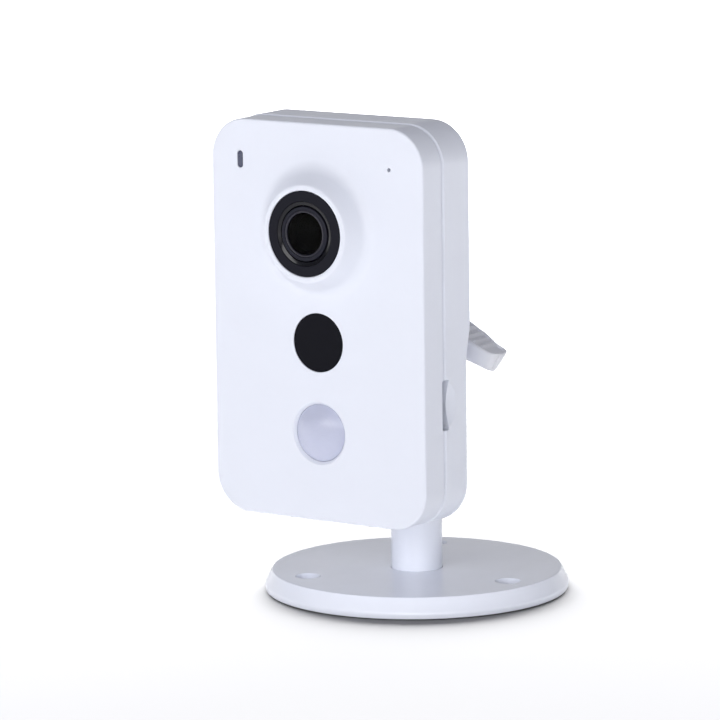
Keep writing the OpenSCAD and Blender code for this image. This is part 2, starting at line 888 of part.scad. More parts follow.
module clamp_ring() {
    grips = 20;
    groove_r = 0.8;
    color("whitesmoke") at_ball() {
        difference() {
            union() {
                rod(ring_r, ring_front_y, ring_back_y);
                rotate([0, lever_drop, 0]) lever();
            }
            rod(ring_bore_r, ring_front_y - through, ring_back_y + through);
            rod(ring_groove_r, ring_groove_y, ring_back_y + through);
            for (i = [2:grips - 2]) {
                a = 360 * i / grips - lever_drop;
                rod(groove_r, ring_front_y - through, ring_back_y + through,
                    [(ring_r + gap) * cos(a), (ring_r + gap) * sin(a)]);
            }
        }
    }
}

module swivel_ball() {
    shoulder_h = 0.9;
    cone_top = 3.6;
    screw_depth = 10.5;
    color("whitesmoke") difference() {
        union() {
            at_ball() sphere(ball_r);
            rotate_extrude() polygon([[0, spigot_z], [spigot_r, spigot_z], [spigot_r, shoulder_z],
                [post_r, shoulder_z], [post_r, shoulder_z + shoulder_h],
                [neck_r, shoulder_z + cone_top],
                [neck_r, ball_z - ball_r / 2], [0, ball_z - ball_r / 2]]);
        }
        translate([0, 0, spigot_z - through]) cylinder(r = screw_hole_r, h = through + screw_depth);
    }
}

module swivel_washer() {
    color("silver") translate([0, 0, spigot_z - washer_t]) difference() {
        cylinder(r = post_cavity_r - gap, h = washer_t);
        translate([0, 0, -through]) cylinder(r = screw_hole_r, h = 3 * through);
    }
}

module swivel_screw() {
    color("silver") translate([0, 0, spigot_z - washer_t]) rotate([90, 0, 0]) {
        screw([0, 0], 0, 10, 2.8, 1.5, 1);
    }
}

module at_post_screws() {
    for (a = [30:120:270]) rotate([0, 0, a]) translate([post_screw_circle_r, 0, 0]) children();
}

module stand_post() {
    color("white") difference() {
        rotate_extrude() polygon([[post_cavity_r, base_flange_z], [post_flange_r, base_flange_z],
            [post_flange_r, base_plate_z], [post_r, base_plate_z], [post_r, post_top_z],
            [post_bore_r, post_top_z], [post_bore_r, ledge_z], [post_cavity_r, ledge_z]]);
        at_post_screws() cylinder(r = screw_hole_r, h = base_plate_z + through);
    }
}

module post_screws() {
    color("silver") at_post_screws() translate([0, 0, base_flange_z]) rotate([90, 0, 0])
        screw([0, 0], 0, 3.3, 2.1, 1.1, 1);
}

// The base's side in [radius, z], from its widest place up to the start of its slope.
function base_edge() = arc([base_r - base_edge_r, base_edge_z], base_edge_r, 0, base_edge_turn,
    base_edge_parts);

module base_disc() {
    ribs = 6;
    rib_w = 1.4;
    hole_boss_r = 5;
    countersink = 1.5;
    color("white") difference() {
        rotate_extrude() polygon(concat([[0, base_foot_z], [base_r - gap, base_foot_z]],
            base_edge(), [[base_top_r, base_h], [0, base_h]]));
        translate([0, 0, -through]) cylinder(r = post_r + fit, h = base_h + 2 * through);
        translate([0, 0, -through]) cylinder(r = post_flange_r + gap, h = base_plate_z + through);
        difference() {
            translate([0, 0, -through]) cylinder(r = pocket_out_r, h = base_plate_z + through);
            translate([0, 0, -through]) cylinder(r = pocket_in_r, h = base_h);
            for (i = [0:ribs - 1]) rotate([0, 0, hole_turn + 360 * i / ribs])
                translate([0, -rib_w / 2, -through]) cube([base_r, rib_w, base_h]);
            for (i = [0:2]) rotate([0, 0, hole_turn + 120 * i])
                translate([hole_circle_r, 0, -through]) cylinder(r = hole_boss_r, h = base_h);
        }
        difference() {
            translate([0, 0, -through]) cylinder(r = pad_out_r + 2 * little, h = pad_h + through);
            translate([0, 0, -through]) cylinder(r = pad_in_r - 2 * little, h = base_h);
        }
        for (i = [0:2]) rotate([0, 0, hole_turn + 120 * i]) translate([hole_circle_r, 0, 0]) {
            translate([0, 0, -through]) cylinder(r = hole_r, h = base_h + 2 * through);
            translate([0, 0, base_h - countersink])
                cylinder(r1 = hole_r, r2 = hole_r + countersink, h = countersink);
        }
        at_post_screws() cylinder(r = screw_hole_r, h = base_h - skin);
    }
}

module base_pad() {
    color("dimgray") difference() {
        cylinder(r = pad_out_r, h = pad_h);
        translate([0, 0, -through]) cylinder(r = pad_in_r, h = pad_h + 2 * through);
    }
}

front_cover();
rear_cover();
status_light_pipe();
status_led();
microphone();
microphone_boot();
lens_bezel();
lens_barrel();
lens_retaining_ring();
lens_front_glass();
lens_inner_glass();
lens_holder();
ir_cut_frame();
ir_cut_slider();
ir_cut_glass();
clear_glass();
ir_cut_coil();
image_sensor();
main_board();
processor();
heat_sink();
wifi_module();
wifi_antenna();
antenna_lead();
ir_window();
ir_led();
light_sensor();
motion_lens();
motion_sensor();
io_board();
ribbon_cable();
ethernet_jack();
ethernet_contacts();
power_jack();
power_pin();
card_socket();
tact_switches();
reset_button();
wps_button();
speaker();
cover_screws();
board_screws();
socket_screws();
ball_socket();
ball_retainer();
friction_liner();
thrust_ring();
clamp_ring();
swivel_ball();
swivel_washer();
swivel_screw();
stand_post();
post_screws();
base_disc();
base_pad();
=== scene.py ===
"""Looks of the indoor security camera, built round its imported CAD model.

Lengths are in mm until a piece is placed, and in metres after that.
"""

import math

import bmesh
import bpy
from mathutils import Matrix, Vector
from mathutils.geometry import tessellate_polygon


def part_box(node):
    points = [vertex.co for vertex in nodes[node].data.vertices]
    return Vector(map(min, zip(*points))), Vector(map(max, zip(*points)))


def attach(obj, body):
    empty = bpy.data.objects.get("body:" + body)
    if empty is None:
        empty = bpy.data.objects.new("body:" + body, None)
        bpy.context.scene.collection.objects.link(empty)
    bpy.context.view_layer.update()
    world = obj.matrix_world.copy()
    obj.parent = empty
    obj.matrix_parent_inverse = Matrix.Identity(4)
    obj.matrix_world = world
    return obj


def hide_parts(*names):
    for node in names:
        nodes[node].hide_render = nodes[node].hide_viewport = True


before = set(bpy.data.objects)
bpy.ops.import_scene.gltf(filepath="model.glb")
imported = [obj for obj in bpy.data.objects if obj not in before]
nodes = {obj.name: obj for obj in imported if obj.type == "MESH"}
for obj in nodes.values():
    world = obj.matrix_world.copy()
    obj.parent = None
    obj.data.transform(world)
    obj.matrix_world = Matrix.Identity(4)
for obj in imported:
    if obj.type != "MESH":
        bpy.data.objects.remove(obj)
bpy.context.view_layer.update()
MM = 0.001

# ------------------------ sizes, the same as the CAD's
HEAD_W, HEAD_LOW, HEAD_TOP, CORNER = 65.0, 25.7, 127.9, 10.2
FACE_Y, SEAM_Y = -44.0, -35.4
REAR_TOP_Y, REAR_LOW_Y = -23.1, -25.0
STEP_LOW_Z, STEP_TOP_Z = 65.8, 77.8
WALL = 1.8
INNER_Y = FACE_Y + WALL
REAR_PROUD = 0.3
SEAM_HALF_GAP = 0.15
BALL_Z = 76.8
LENS_Z, BOSS_Y, BEZEL_SEAT_Y = 100.4, -49.6, -45.5
WINDOW_Z, WINDOW_R, WINDOW_SEAT_Y = 71.8, 7.55, -42.5
MOTION_Z, MOTION_R = 48.4, 7.4
STATUS_X, STATUS_Z, MIC_X = -23.5, 117.4, 22.3
CARD_Z, CARD_SLOT_HALF_H = 57.2, 6.5
JACK, POWER = (15.0, 40.0), (-15.0, 38.5)
WPS, RESET = (-19.0, 54.0), (-9.5, 54.0)
SPEAKER = (-13.0, 111.0)
COVER_SCREWS = [(-26.5, 33.3), (26.5, 33.3), (-26.5, 106.5), (26.5, 106.5)]
LEVER_DROP = math.radians(18.5)
LEVER_ROOT, LEVER_REACH, LEVER_HALF_T, LEVER_MID_V = 13.4, 37.4, 2.3, 0.8
LEVER_FRONT_Y, LEVER_BACK_Y, LEVER_TIP_BACK_Y = -18.0, -8.0, -9.9
SOCKET_R, SOCKET_BORE_R, BALL_R, NECK_R = 12.25, 9.35, 7.5, 4.5
POST_R, DISC_TOP_Z, DISC_FOOT_Z, FLANGE_TOP_Z = 6.75, 5.7, 0.3, 3.3
TINY = 1e-6
MERGE_DISTANCE = 1e-4


# ------------------------ mesh helpers
def made(name, bm):
    """An object, in mm, from a finished bmesh."""
    bmesh.ops.remove_doubles(bm, verts=bm.verts, dist=MERGE_DISTANCE)
    bmesh.ops.recalc_face_normals(bm, faces=bm.faces)
    mesh = bpy.data.meshes.new(name)
    bm.to_mesh(mesh)
    bm.free()
    piece = bpy.data.objects.new(name, mesh)
    bpy.context.scene.collection.objects.link(piece)
    return piece


def rounded(corners, closed=True, step=10):
    """An outline through (u, v, corner radius) points, each corner an arc."""
    out, n = [], len(corners)
    for i, (u, v, radius) in enumerate(corners):
        p = Vector((u, v))
        if radius <= 0 or (not closed and i in (0, n - 1)):
            out.append((u, v))
            continue
        a, b = Vector(corners[i - 1][:2]), Vector(corners[(i + 1) % n][:2])
        da, db = (a - p).normalized(), (b - p).normalized()
        half = da.angle(db) / 2
        reach = radius / math.tan(half)
        centre = p + (da + db).normalized() * (radius / math.sin(half))
        start, end = p + da * reach - centre, p + db * reach - centre
        a0 = math.atan2(start.y, start.x)
        turn = (math.atan2(end.y, end.x) - a0 + math.pi) % (2 * math.pi) - math.pi
        parts = max(2, math.ceil(abs(turn) / math.radians(step)))
        for k in range(parts + 1):
            t = a0 + turn * k / parts
            out.append((centre.x + radius * math.cos(t), centre.y + radius * math.sin(t)))
    return out


def spun(bm, profile, at=(0.0, 0.0), axis="Y", turns=128, closed=True, shape=None):
    """Turns (radius, place on the axis) points about an axis. Returns the rings of vertices."""
    rings = []
    for r, h in profile:
        ring = []
        for i in range(1 if r < TINY else turns):
            t = 2 * math.pi * i / turns
            q = r if shape is None else shape(r, t)
            c, s = q * math.cos(t), q * math.sin(t)
            p = (at[0] + c, h, at[1] + s) if axis == "Y" else (at[0] + c, at[1] + s, h)
            ring.append(bm.verts.new(p))
        rings.append(ring)
    for a, b in zip(rings, rings[1:] + (rings[:1] if closed else [])):
        for i in range(max(len(a), len(b))):
            quad = [a[i % len(a)], a[(i + 1) % len(a)], b[(i + 1) % len(b)], b[i % len(b)]]
            quad = list(dict.fromkeys(quad))
            if len(quad) > 2:
                bm.faces.new(quad)
    return rings


def lathe(name, profile, **how):
    bm = bmesh.new()
    spun(bm, profile, **how)
    return made(name, bm)


def lofted(bm, loops):
    """Walls between closed loops of 3D points. Returns the rings of vertices."""
    rings = [[bm.verts.new(p) for p in loop] for loop in loops]
    for a, b in zip(rings, rings[1:]):
        for i in range(len(a)):
            j = (i + 1) % len(a)
            bm.faces.new((a[i], a[j], b[j], b[i]))
    return rings


def filled(bm, outer, *holes):
    """A flat face inside one ring of vertices and outside the others."""
    rings = [outer, *holes]
    every = [v for ring in rings for v in ring]
    for tri in tessellate_polygon([[v.co for v in ring] for ring in rings]):
        bm.faces.new([every[i] for i in tri])


def prism(name, outline, y0, y1):
    """A solid between two heights on Y from (x, z) points."""
    bm = bmesh.new()
    rings = lofted(bm, [[(x, y, z) for x, z in outline] for y in (y0, y1)])
    for ring in rings:
        filled(bm, ring)
    return made(name, bm)


def brick(name, low, high, corner=0.0, axis="X"):
    """A block whose edges along one axis are rounded."""
    a, b = [i for i in range(3) if "XYZ"[i] != axis]
    k = "XYZ".index(axis)
    sides = [(low[a], low[b]), (high[a], low[b]), (high[a], high[b]), (low[a], high[b])]
    outline = rounded([(u, v, corner) for u, v in sides])
    bm = bmesh.new()
    loops = []
    for end in (low[k], high[k]):
        loop = []
        for u, v in outline:
            p = [0.0, 0.0, 0.0]
            p[a], p[b], p[k] = u, v, end
            loop.append(tuple(p))
        loops.append(loop)
    for ring in lofted(bm, loops):
        filled(bm, ring)
    return made(name, bm)


def half_circle(radius, middle=0.0, parts=48):
    """(radius, place on the axis) points of a sphere, from one pole to the other."""
    turns = [math.pi * i / parts for i in range(parts + 1)]
    out = [(radius * math.sin(t), middle - radius * math.cos(t)) for t in turns]
    return [(0.0, out[0][1]), *out[1:-1], (0.0, out[-1][1])]


def quarter_circle(radius, parts=24):
    """(radius, place on the axis) points from a sphere's equator to its pole."""
    turns = [math.radians(90 * i / parts) for i in range(parts)]
    return [(radius * math.cos(t), radius * math.sin(t)) for t in turns] + [(0.0, radius)]


def ball(name, centre, radius, turns=96):
    return lathe(name, half_circle(radius, centre[1]), at=(centre[0], centre[2]), turns=turns, closed=False)


def baked(piece):
    """Applies every modifier of a piece."""
    bpy.context.view_layer.update()
    graph = bpy.context.evaluated_depsgraph_get()
    mesh = bpy.data.meshes.new_from_object(piece.evaluated_get(graph), depsgraph=graph)
    piece.modifiers.clear()
    old = piece.data
    piece.data = mesh
    bpy.data.meshes.remove(old)
    return piece


def carve(piece, *tools, how="DIFFERENCE"):
    """Cuts the tools out of a piece, or joins them to it, and removes them."""
    for tool in tools:
        modifier = piece.modifiers.new("carve", "BOOLEAN")
        modifier.operation = how
        modifier.solver = "EXACT"
        modifier.object = tool
    baked(piece)
    for tool in tools:
        bpy.data.objects.remove(tool)


def eased(piece, width, angle=40, segments=2):
    """Rounds the edges sharper than an angle."""
    modifier = piece.modifiers.new("ease", "BEVEL")
    modifier.width = width
    modifier.segments = segments
    modifier.limit_method = "ANGLE"
    modifier.angle_limit = math.radians(angle)
    modifier.miter_outer = "MITER_ARC"
    return baked(piece)


def smoothed(piece, surface, sharp):
    """Smooth shading with sharp edges above an angle, and one finish all over."""
    piece.data.materials.clear()
    piece.data.materials.append(surface)
    for face in piece.data.polygons:
        face.material_index = 0
        face.use_smooth = True
    piece.data.set_sharp_from_angle(angle=math.radians(sharp))


def flat_faces_first(piece, weight):
    """Normals that keep the large faces flat beside small roundings."""
    weighted = piece.modifiers.new("normals", "WEIGHTED_NORMAL")
    weighted.keep_sharp = True
    weighted.weight = weight


def placed(piece, body, surface, slot, *stands_for, sharp=38):
    """The last step for a piece: metres, smooth shading, its finish, and the CAD body it rides on."""
    piece.data.transform(Matrix.Scale(MM, 4))
    smoothed(piece, surface, sharp)
    flat_faces_first(piece, 80)
    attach(piece, body)
    if stands_for:
        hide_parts(*stands_for)


# ------------------------ finishes
MIX_A, MIX_B, MIX_RESULT = 6, 7, 2  # the colour sockets of a Mix node
PATCH_DETAIL, GRAIN_DETAIL = 5.0, 3.0
NOISE_LOW, NOISE_HIGH = 0.3, 0.7  # nearly all of a noise texture lies between them
LEAST_ROUGHNESS = 0.02
COAT_ROUGHNESS = 0.1
MILKY_RADIUS, MILKY_SCALE = (1.0, 1.0, 1.1), 0.0012


def srgb(r, g, b):
    """The linear colour, with alpha, of an sRGB one."""
    return tuple(c / 12.92 if c <= 0.04045 else ((c + 0.055) / 1.055) ** 2.4 for c in (r, g, b)) + (1.0,)


def finish(
    name,
    colour,
    roughness,
    spread=0.04,
    shade=0.03,
    patch=60.0,
    grain=3500.0,
    grain_depth=0.02,
    grain_strength=0.15,
    metallic=0.0,
    coat=0.0,
    ior=1.5,
    milky=0.0,
    specular=0.5,
):
    """A moulded or machined surface: slight colour patches, uneven gloss and a fine grain."""
    m = bpy.data.materials.new(name)
    m.use_nodes = True
    tree = m.node_tree
    shader = tree.nodes["Principled BSDF"]
    where = tree.nodes.new("ShaderNodeTexCoord")
    big = tree.nodes.new("ShaderNodeTexNoise")
    big.inputs["Scale"].default_value = patch
    big.inputs["Detail"].default_value = PATCH_DETAIL
    fine = tree.nodes.new("ShaderNodeTexNoise")
    fine.inputs["Scale"].default_value = grain
    fine.inputs["Detail"].default_value = GRAIN_DETAIL
    tone = tree.nodes.new("ShaderNodeMix")
    tone.data_type = "RGBA"
    base = srgb(*colour)
    tone.inputs[MIX_A].default_value = tuple(c * (1 - shade) for c in base[:3]) + (1.0,)
    tone.inputs[MIX_B].default_value = tuple(min(1.0, c * (1 + shade)) for c in base[:3]) + (1.0,)
    gloss = tree.nodes.new("ShaderNodeMapRange")
    gloss.inputs["From Min"].default_value = NOISE_LOW
    gloss.inputs["From Max"].default_value = NOISE_HIGH
    gloss.inputs["To Min"].default_value = max(LEAST_ROUGHNESS, roughness - spread)
    gloss.inputs["To Max"].default_value = min(1.0, roughness + spread)
    bump = tree.nodes.new("ShaderNodeBump")
    bump.inputs["Strength"].default_value = grain_strength
    bump.inputs["Distance"].default_value = grain_depth * MM
    link = tree.links.new
    link(where.outputs["Object"], big.inputs["Vector"])
    link(where.outputs["Object"], fine.inputs["Vector"])
    link(big.outputs["Fac"], tone.inputs[0])
    link(tone.outputs[MIX_RESULT], shader.inputs["Base Color"])
    link(big.outputs["Fac"], gloss.inputs["Value"])
    link(gloss.outputs["Result"], shader.inputs["Roughness"])
    link(fine.outputs["Fac"], bump.inputs["Height"])
    link(bump.outputs["Normal"], shader.inputs["Normal"])
    shader.inputs["Metallic"].default_value = metallic
    shader.inputs["IOR"].default_value = ior
    shader.inputs["Coat Weight"].default_value = coat
    shader.inputs["Coat Roughness"].default_value = COAT_ROUGHNESS
    shader.inputs["Specular IOR Level"].default_value = specular
    if milky:
        shader.inputs["Subsurface Weight"].default_value = milky
        shader.inputs["Subsurface Radius"].default_value = MILKY_RADIUS
        shader.inputs["Subsurface Scale"].default_value = MILKY_SCALE
    return m


def glass(name, tint, roughness, ior, clear=1.0):
    """A polished surface that lets light through. A coated lens has a low index, as it reflects little."""
    m = finish(name, tint, roughness, spread=0.01, shade=0.01, grain_strength=0.02, ior=ior)
    m.node_tree.nodes["Principled BSDF"].inputs["Transmission Weight"].default_value = clear
    return m


WHITE = (0.900, 0.914, 0.957)
white = finish("white_plastic", WHITE, 0.40, spread=0.05, shade=0.012, grain=5200, grain_strength=0.14)
white_gloss = finish(
    "white_gloss_plastic", WHITE, 0.235, spread=0.03, shade=0.012, grain=5200, grain_strength=0.05,
)
white_joint = finish(
    "white_joint_plastic", (0.875, 0.88, 0.905), 0.34, spread=0.05, shade=0.015, grain=5200,
    grain_strength=0.1,
)
white_button = finish("white_button_plastic", (0.80, 0.81, 0.84), 0.38, shade=0.02, grain=5200)
bezel_black = finish(
    "black_bezel_plastic", (0.07, 0.073, 0.115), 0.48, spread=0.06, shade=0.06, grain=6500,
    grain_strength=0.35, grain_depth=0.03, specular=0.14,
)
step_black = finish(
    "black_bezel_step_plastic", (0.05, 0.052, 0.08), 0.14, spread=0.03, shade=0.05, grain=6500,
    grain_strength=0.03, specular=0.36,
)
black = finish("black_plastic", (0.09, 0.09, 0.10), 0.45, shade=0.06, grain=4200, grain_strength=0.2)
lens_metal = finish(
    "anodised_lens_barrel", (0.10, 0.104, 0.15), 0.34, spread=0.06, shade=0.05, grain=9000,
    grain_strength=0.12, metallic=0.3, specular=0.24,
)
front_glass = glass("coated_front_glass", (0.30, 0.31, 0.38), 0.02, 1.12)
inner_glass = glass("coated_inner_glass", (0.10, 0.11, 0.19), 0.03, 1.12)
retainer_black = finish(
    "lens_retainer_plastic", (0.13, 0.13, 0.18), 0.32, spread=0.04, shade=0.05, grain=8000,
    grain_strength=0.1,
)
window = finish(
    "infrared_window_plastic", (0.06, 0.061, 0.09), 0.14, spread=0.03, shade=0.05, grain=2600,
    grain_strength=0.02, specular=0.08,
)
dome = finish(
    "milky_motion_lens_plastic", (0.765, 0.78, 0.865), 0.235, spread=0.03, shade=0.015, patch=320,
    grain=1500, grain_strength=0.18, milky=0.35,
)
light = finish(
    "status_light_plastic", (0.25, 0.265, 0.36), 0.28, spread=0.04, shade=0.05, patch=500,
    grain=3000, grain_strength=0.06, coat=0.3,
)
filter_pane = glass("filter_pane_glass", (0.70, 0.86, 0.88), 0.03, 1.5, 0.6)
board = finish(
    "circuit_board", (0.07, 0.27, 0.15), 0.35, shade=0.12, patch=420, grain=2600,
    grain_strength=0.25, coat=0.25,
)
chip = finish("moulded_chip", (0.07, 0.07, 0.075), 0.55, shade=0.1, grain=6500, grain_strength=0.3)
steel = finish(
    "plated_steel", (0.72, 0.72, 0.73), 0.28, spread=0.08, shade=0.04, patch=180, grain=4200,
    grain_strength=0.12, metallic=1.0,
)
tin = finish(
    "tinned_steel", (0.74, 0.75, 0.76), 0.36, spread=0.08, shade=0.05, patch=180, grain=3600,
    grain_strength=0.16, metallic=1.0,
)
alloy = finish(
    "cast_alloy", (0.62, 0.63, 0.65), 0.45, spread=0.06, shade=0.05, grain=4200, grain_strength=0.3,
    metallic=1.0,
)
gold = finish(
    "gold_plate", (0.90, 0.72, 0.36), 0.25, spread=0.05, shade=0.04, grain=5200,
    grain_strength=0.06, metallic=1.0,
)
copper = finish(
    "enamelled_copper", (0.72, 0.38, 0.20), 0.3, shade=0.08, patch=900, grain=3200,
    grain_strength=0.4, metallic=0.9,
)
rubber = finish(
    "foot_rubber", (0.16, 0.16, 0.17), 0.75, shade=0.08, grain=3000, grain_strength=0.4,
    grain_depth=0.04,
)
grey = finish("grey_plastic", (0.42, 0.42, 0.45), 0.42, shade=0.04, grain=4200, grain_strength=0.18)
film = finish(
    "ribbon_film", (0.78, 0.45, 0.16), 0.28, shade=0.06, patch=380, grain=2600, grain_strength=0.08,
    coat=0.3,
)


# ------------------------ the head's covers
def head_outline(inset, heights=()):
    """(x, z) points round the head, up the right side from its lower corner.

    Both sides have a point at each height.
    """
    r, half, parts = CORNER - inset, HEAD_W / 2 - inset, 18
    low, top = HEAD_LOW + inset, HEAD_TOP - inset
    quarters = [
        (half - r, low + r, -90),
        (half - r, top - r, 0),
        (r - half, top - r, 90),
        (r - half, low + r, 180),
    ]
    out = []
    for k, (cx, cz, a0) in enumerate(quarters):
        for i in range(parts + 1):
            a = math.radians(a0 + 90 * i / parts)
            out.append((cx + r * math.cos(a), cz + r * math.sin(a)))
        if k == 0:
            out += [(half, z) for z in heights]
        if k == 2:
            out += [(-half, z) for z in reversed(heights)]
    return out


def pill(w, h, parts=12):
    """(x, z) points round an upright slot with round ends."""
    out = []
    for sign in (1, -1):
        for i in range(parts + 1):
            a = math.radians((0 if sign > 0 else 180) + 180 * i / parts)
            out.append((w / 2 * math.cos(a), sign * (h - w) / 2 + w / 2 * math.sin(a)))
    return out


def status_loops(steps, w, h):
    """Outlines round the status light, from (growth, depth behind the face) steps."""
    loops = []
    for grow, depth in steps:
        outline = pill(w + 2 * grow, h + 2 * grow)
        loops.append([(x + STATUS_X, FACE_Y + depth, z + STATUS_Z) for x, z in outline])
    return loops


def front_cover():
    """A shell with a filleted rim, the lens boss raised from its face, and openings with eased edges."""
    rim_y = SEAM_Y - SEAM_HALF_GAP
    fillet, parts = 0.55, 8
    edge = []
    for k in range(parts + 1):
        a = math.radians(90 * k / parts)
        edge.append((fillet * (1 - math.sin(a)), FACE_Y + fillet * (1 - math.cos(a))))
    edge += [(0.0, rim_y - 0.12), (0.04, rim_y - 0.03), (0.12, rim_y), (WALL, rim_y), (WALL, INNER_Y)]
    bm = bmesh.new()
    shell = lofted(bm, [[(x, y, z) for x, z in head_outline(inset)] for inset, y in edge])
    boss = rounded(
        [
            (18.6, FACE_Y, 0),
            (16.0, FACE_Y, 4.2),
            (12.4, BOSS_Y, 0.95),
            (11.0, BOSS_Y, 0.3),
            (11.0, BEZEL_SEAT_Y, 0),
            (7.7, BEZEL_SEAT_Y, 0),
            (7.7, INNER_Y, 0),
        ],
        closed=False,
        step=7,
    )
    window_hole = rounded(
        [
            (WINDOW_R + 0.35, FACE_Y, 0),
            (WINDOW_R + 0.05, FACE_Y, 0.14),
            (WINDOW_R + 0.05, WINDOW_SEAT_Y, 0),
            (6.5, WINDOW_SEAT_Y, 0),
            (6.5, INNER_Y, 0),
        ],
        closed=False,
        step=20,
    )
    dome_hole = rounded(
        [
            (MOTION_R + 1.0, FACE_Y, 0),
            (MOTION_R + 0.72, FACE_Y, 0.25),
            (MOTION_R + 0.06, FACE_Y + 0.66, 0.1),
            (MOTION_R + 0.06, INNER_Y, 0),
        ],
        closed=False,
        step=12,
    )
    mic_hole = rounded([(0.75, FACE_Y, 0), (0.5, FACE_Y, 0.12), (0.5, INNER_Y, 0)], closed=False, step=20)
    holes = [
        spun(bm, boss, at=(0, LENS_Z), turns=160, closed=False),
        spun(bm, window_hole, at=(0, WINDOW_Z), turns=112, closed=False),
        spun(bm, dome_hole, at=(0, MOTION_Z), turns=112, closed=False),
        spun(bm, mic_hole, at=(MIC_X, STATUS_Z), turns=32, closed=False),
    ]
    slot = [(0.3, 0.0), (0.12, 0.0), (0.04, 0.04), (0.0, 0.12), (0.0, WALL)]
    holes.append(lofted(bm, status_loops(slot, 1.7, 4.46)))
    filled(bm, shell[0], *[h[0] for h in holes])
    filled(bm, shell[-1], *[h[-1] for h in holes])
    cover = made("front_cover_shell", bm)
    carve(cover, card_slot())
    return eased(cover, 0.1, angle=55)


def card_slot():
    """The cutter of the microSD slot, which lies across the seam."""
    low = (29.4, FACE_Y + 7.9, CARD_Z - CARD_SLOT_HALF_H)
    high = (34.5, FACE_Y + 10.5, CARD_Z + CARD_SLOT_HALF_H)
    return brick("card_slot", low, high, 0.6)


def rear_y(z):
    """Where the head's rear face is at a height."""
    t = min(1.0, max(0.0, (z - STEP_LOW_Z) / (STEP_TOP_Z - STEP_LOW_Z)))
    return REAR_LOW_Y + (REAR_TOP_Y - REAR_LOW_Y) * (1 - math.cos(math.pi * t)) / 2


def rear_solid(name, start, front, back, side):
    """A solid the shape of the rear cover, from a place on Y to the rear face.

    front and back are its edges' (inset, distance in from the end) points. side insets all of it.
    """
    parts = 20
    heights = [STEP_LOW_Z + (STEP_TOP_Z - STEP_LOW_Z) * i / parts for i in range(parts + 1)]
    loops = [[(x, start + y, z) for x, z in head_outline(inset + side, heights)] for inset, y in front]
    loops += [[(x, rear_y(z) - y, z) for x, z in head_outline(inset + side, heights)] for inset, y in back]
    bm = bmesh.new()
    rings = lofted(bm, loops)
    filled(bm, rings[0])
    last = rings[-1]
    right = [v for v in last if v.co.x > TINY]
    right.sort(key=lambda v: (round(v.co.z, 6), v.co.x if v.co.z < BALL_Z else -v.co.x))
    left = [v for v in last if v.co.x < -TINY]
    left.sort(key=lambda v: (round(v.co.z, 6), -v.co.x if v.co.z < BALL_Z else v.co.x))
    for a, b, c, d in zip(right, right[1:], left[1:], left):
        bm.faces.new((a, b, c, d))
    return made(name, bm)


def cylinder(name, at, radius, y0, y1, turns=128):
    """A plain cylinder along Y."""
    return lathe(name, [(0, y0), (radius, y0), (radius, y1), (0, y1)], at=at, turns=turns, closed=False)


def rear_cover():
    """The rear shell with its lip, the socket's plinth, the buttons' collars and its openings."""
    start = SEAM_Y + SEAM_HALF_GAP
    fillet, parts = 0.8, 8
    front = [(0.5, 0.0), (0.46, 0.01), (0.0, 0.45)]
    back = []
    for k in range(parts + 1):
        a = math.radians(90 * k / parts)
        back.append((fillet * (1 - math.cos(a)), fillet * (1 - math.sin(a))))
    cover = rear_solid("rear_cover_shell", start, front, back, -REAR_PROUD)
    carve(cover, rear_solid("hollow", start, [(0.0, -3.0)], [(0.0, WALL)], WALL))
    lip_end_y = SEAM_Y + 2.4
    lip = prism("lip", head_outline(WALL - 0.3), start + 0.6, lip_end_y)
    tongue = prism("tongue", head_outline(WALL + 0.05), SEAM_Y - 1.0, lip_end_y)
    carve(lip, tongue, how="UNION")
    carve(lip, prism("lip_hole", head_outline(WALL + 0.95), SEAM_Y - 4, SEAM_Y + 4))
    plinth = lathe(
        "plinth",
        rounded([(0, -27.0, 0), (19.0, -27.0, 0), (19.0, -21.5, 0.7), (0, -21.5, 0)], closed=False),
        at=(0, BALL_Z),
        closed=False,
    )
    wps_collar = cylinder("collar", WPS, 3.8, -27.4, -25.5, 48)
    reset_collar = cylinder("collar", RESET, 2.6, -27.4, -25.5, 48)
    carve(cover, lip, plinth, wps_collar, reset_collar, how="UNION")
    cuts = [cylinder("bore", (0, BALL_Z), 12.35, -36, -20)]
    for x, z in COVER_SCREWS:
        top = REAR_TOP_Y if z > BALL_Z else REAR_LOW_Y
        profile = [
            (0, top - 3.4),
            (1.3, top - 3.4),
            (1.3, top - 1.2),
            (2.6, top - 1.2),
            (2.6, top + 2),
            (0, top + 2),
        ]
        cuts.append(lathe("counterbore", profile, at=(x, z), turns=48, closed=False))
    inside_y, outside_y = -30, -20
    x, z = JACK
    cuts.append(brick("jack_hole", (x - 8.2, inside_y, z - 6.9), (x + 8.2, outside_y, z + 6.9), 0.4, "Y"))
    cuts.append(cylinder("power_hole", POWER, 3.5, inside_y, outside_y, 64))
    cuts.append(cylinder("button_hole", WPS, 2.6, inside_y, outside_y, 48))
    cuts.append(cylinder("button_hole", RESET, 1.4, inside_y, outside_y, 48))
    pitch, grille_hole_r = 2.4, 0.7
    for row in range(-2, 3):
        for col in range(-2, 3):
            dx, dz = (col + row / 2) * pitch, row * pitch * math.sin(math.radians(60))
            if math.hypot(dx, dz) < 2.2 * pitch:
                at = (SPEAKER[0] + dx, SPEAKER[1] + dz)
                cuts.append(cylinder("grille", at, grille_hole_r, inside_y, outside_y, 24))
    cuts.append(card_slot())
    scallop_r, scallop_depth = 17.4, 1.0
    middle = (HEAD_W / 2 + scallop_r - scallop_depth, FACE_Y + 7.5, CARD_Z)
    cuts.append(ball("scallop", middle, scallop_r, turns=160))
    carve(cover, *cuts)
    return eased(cover, 0.14, angle=50)


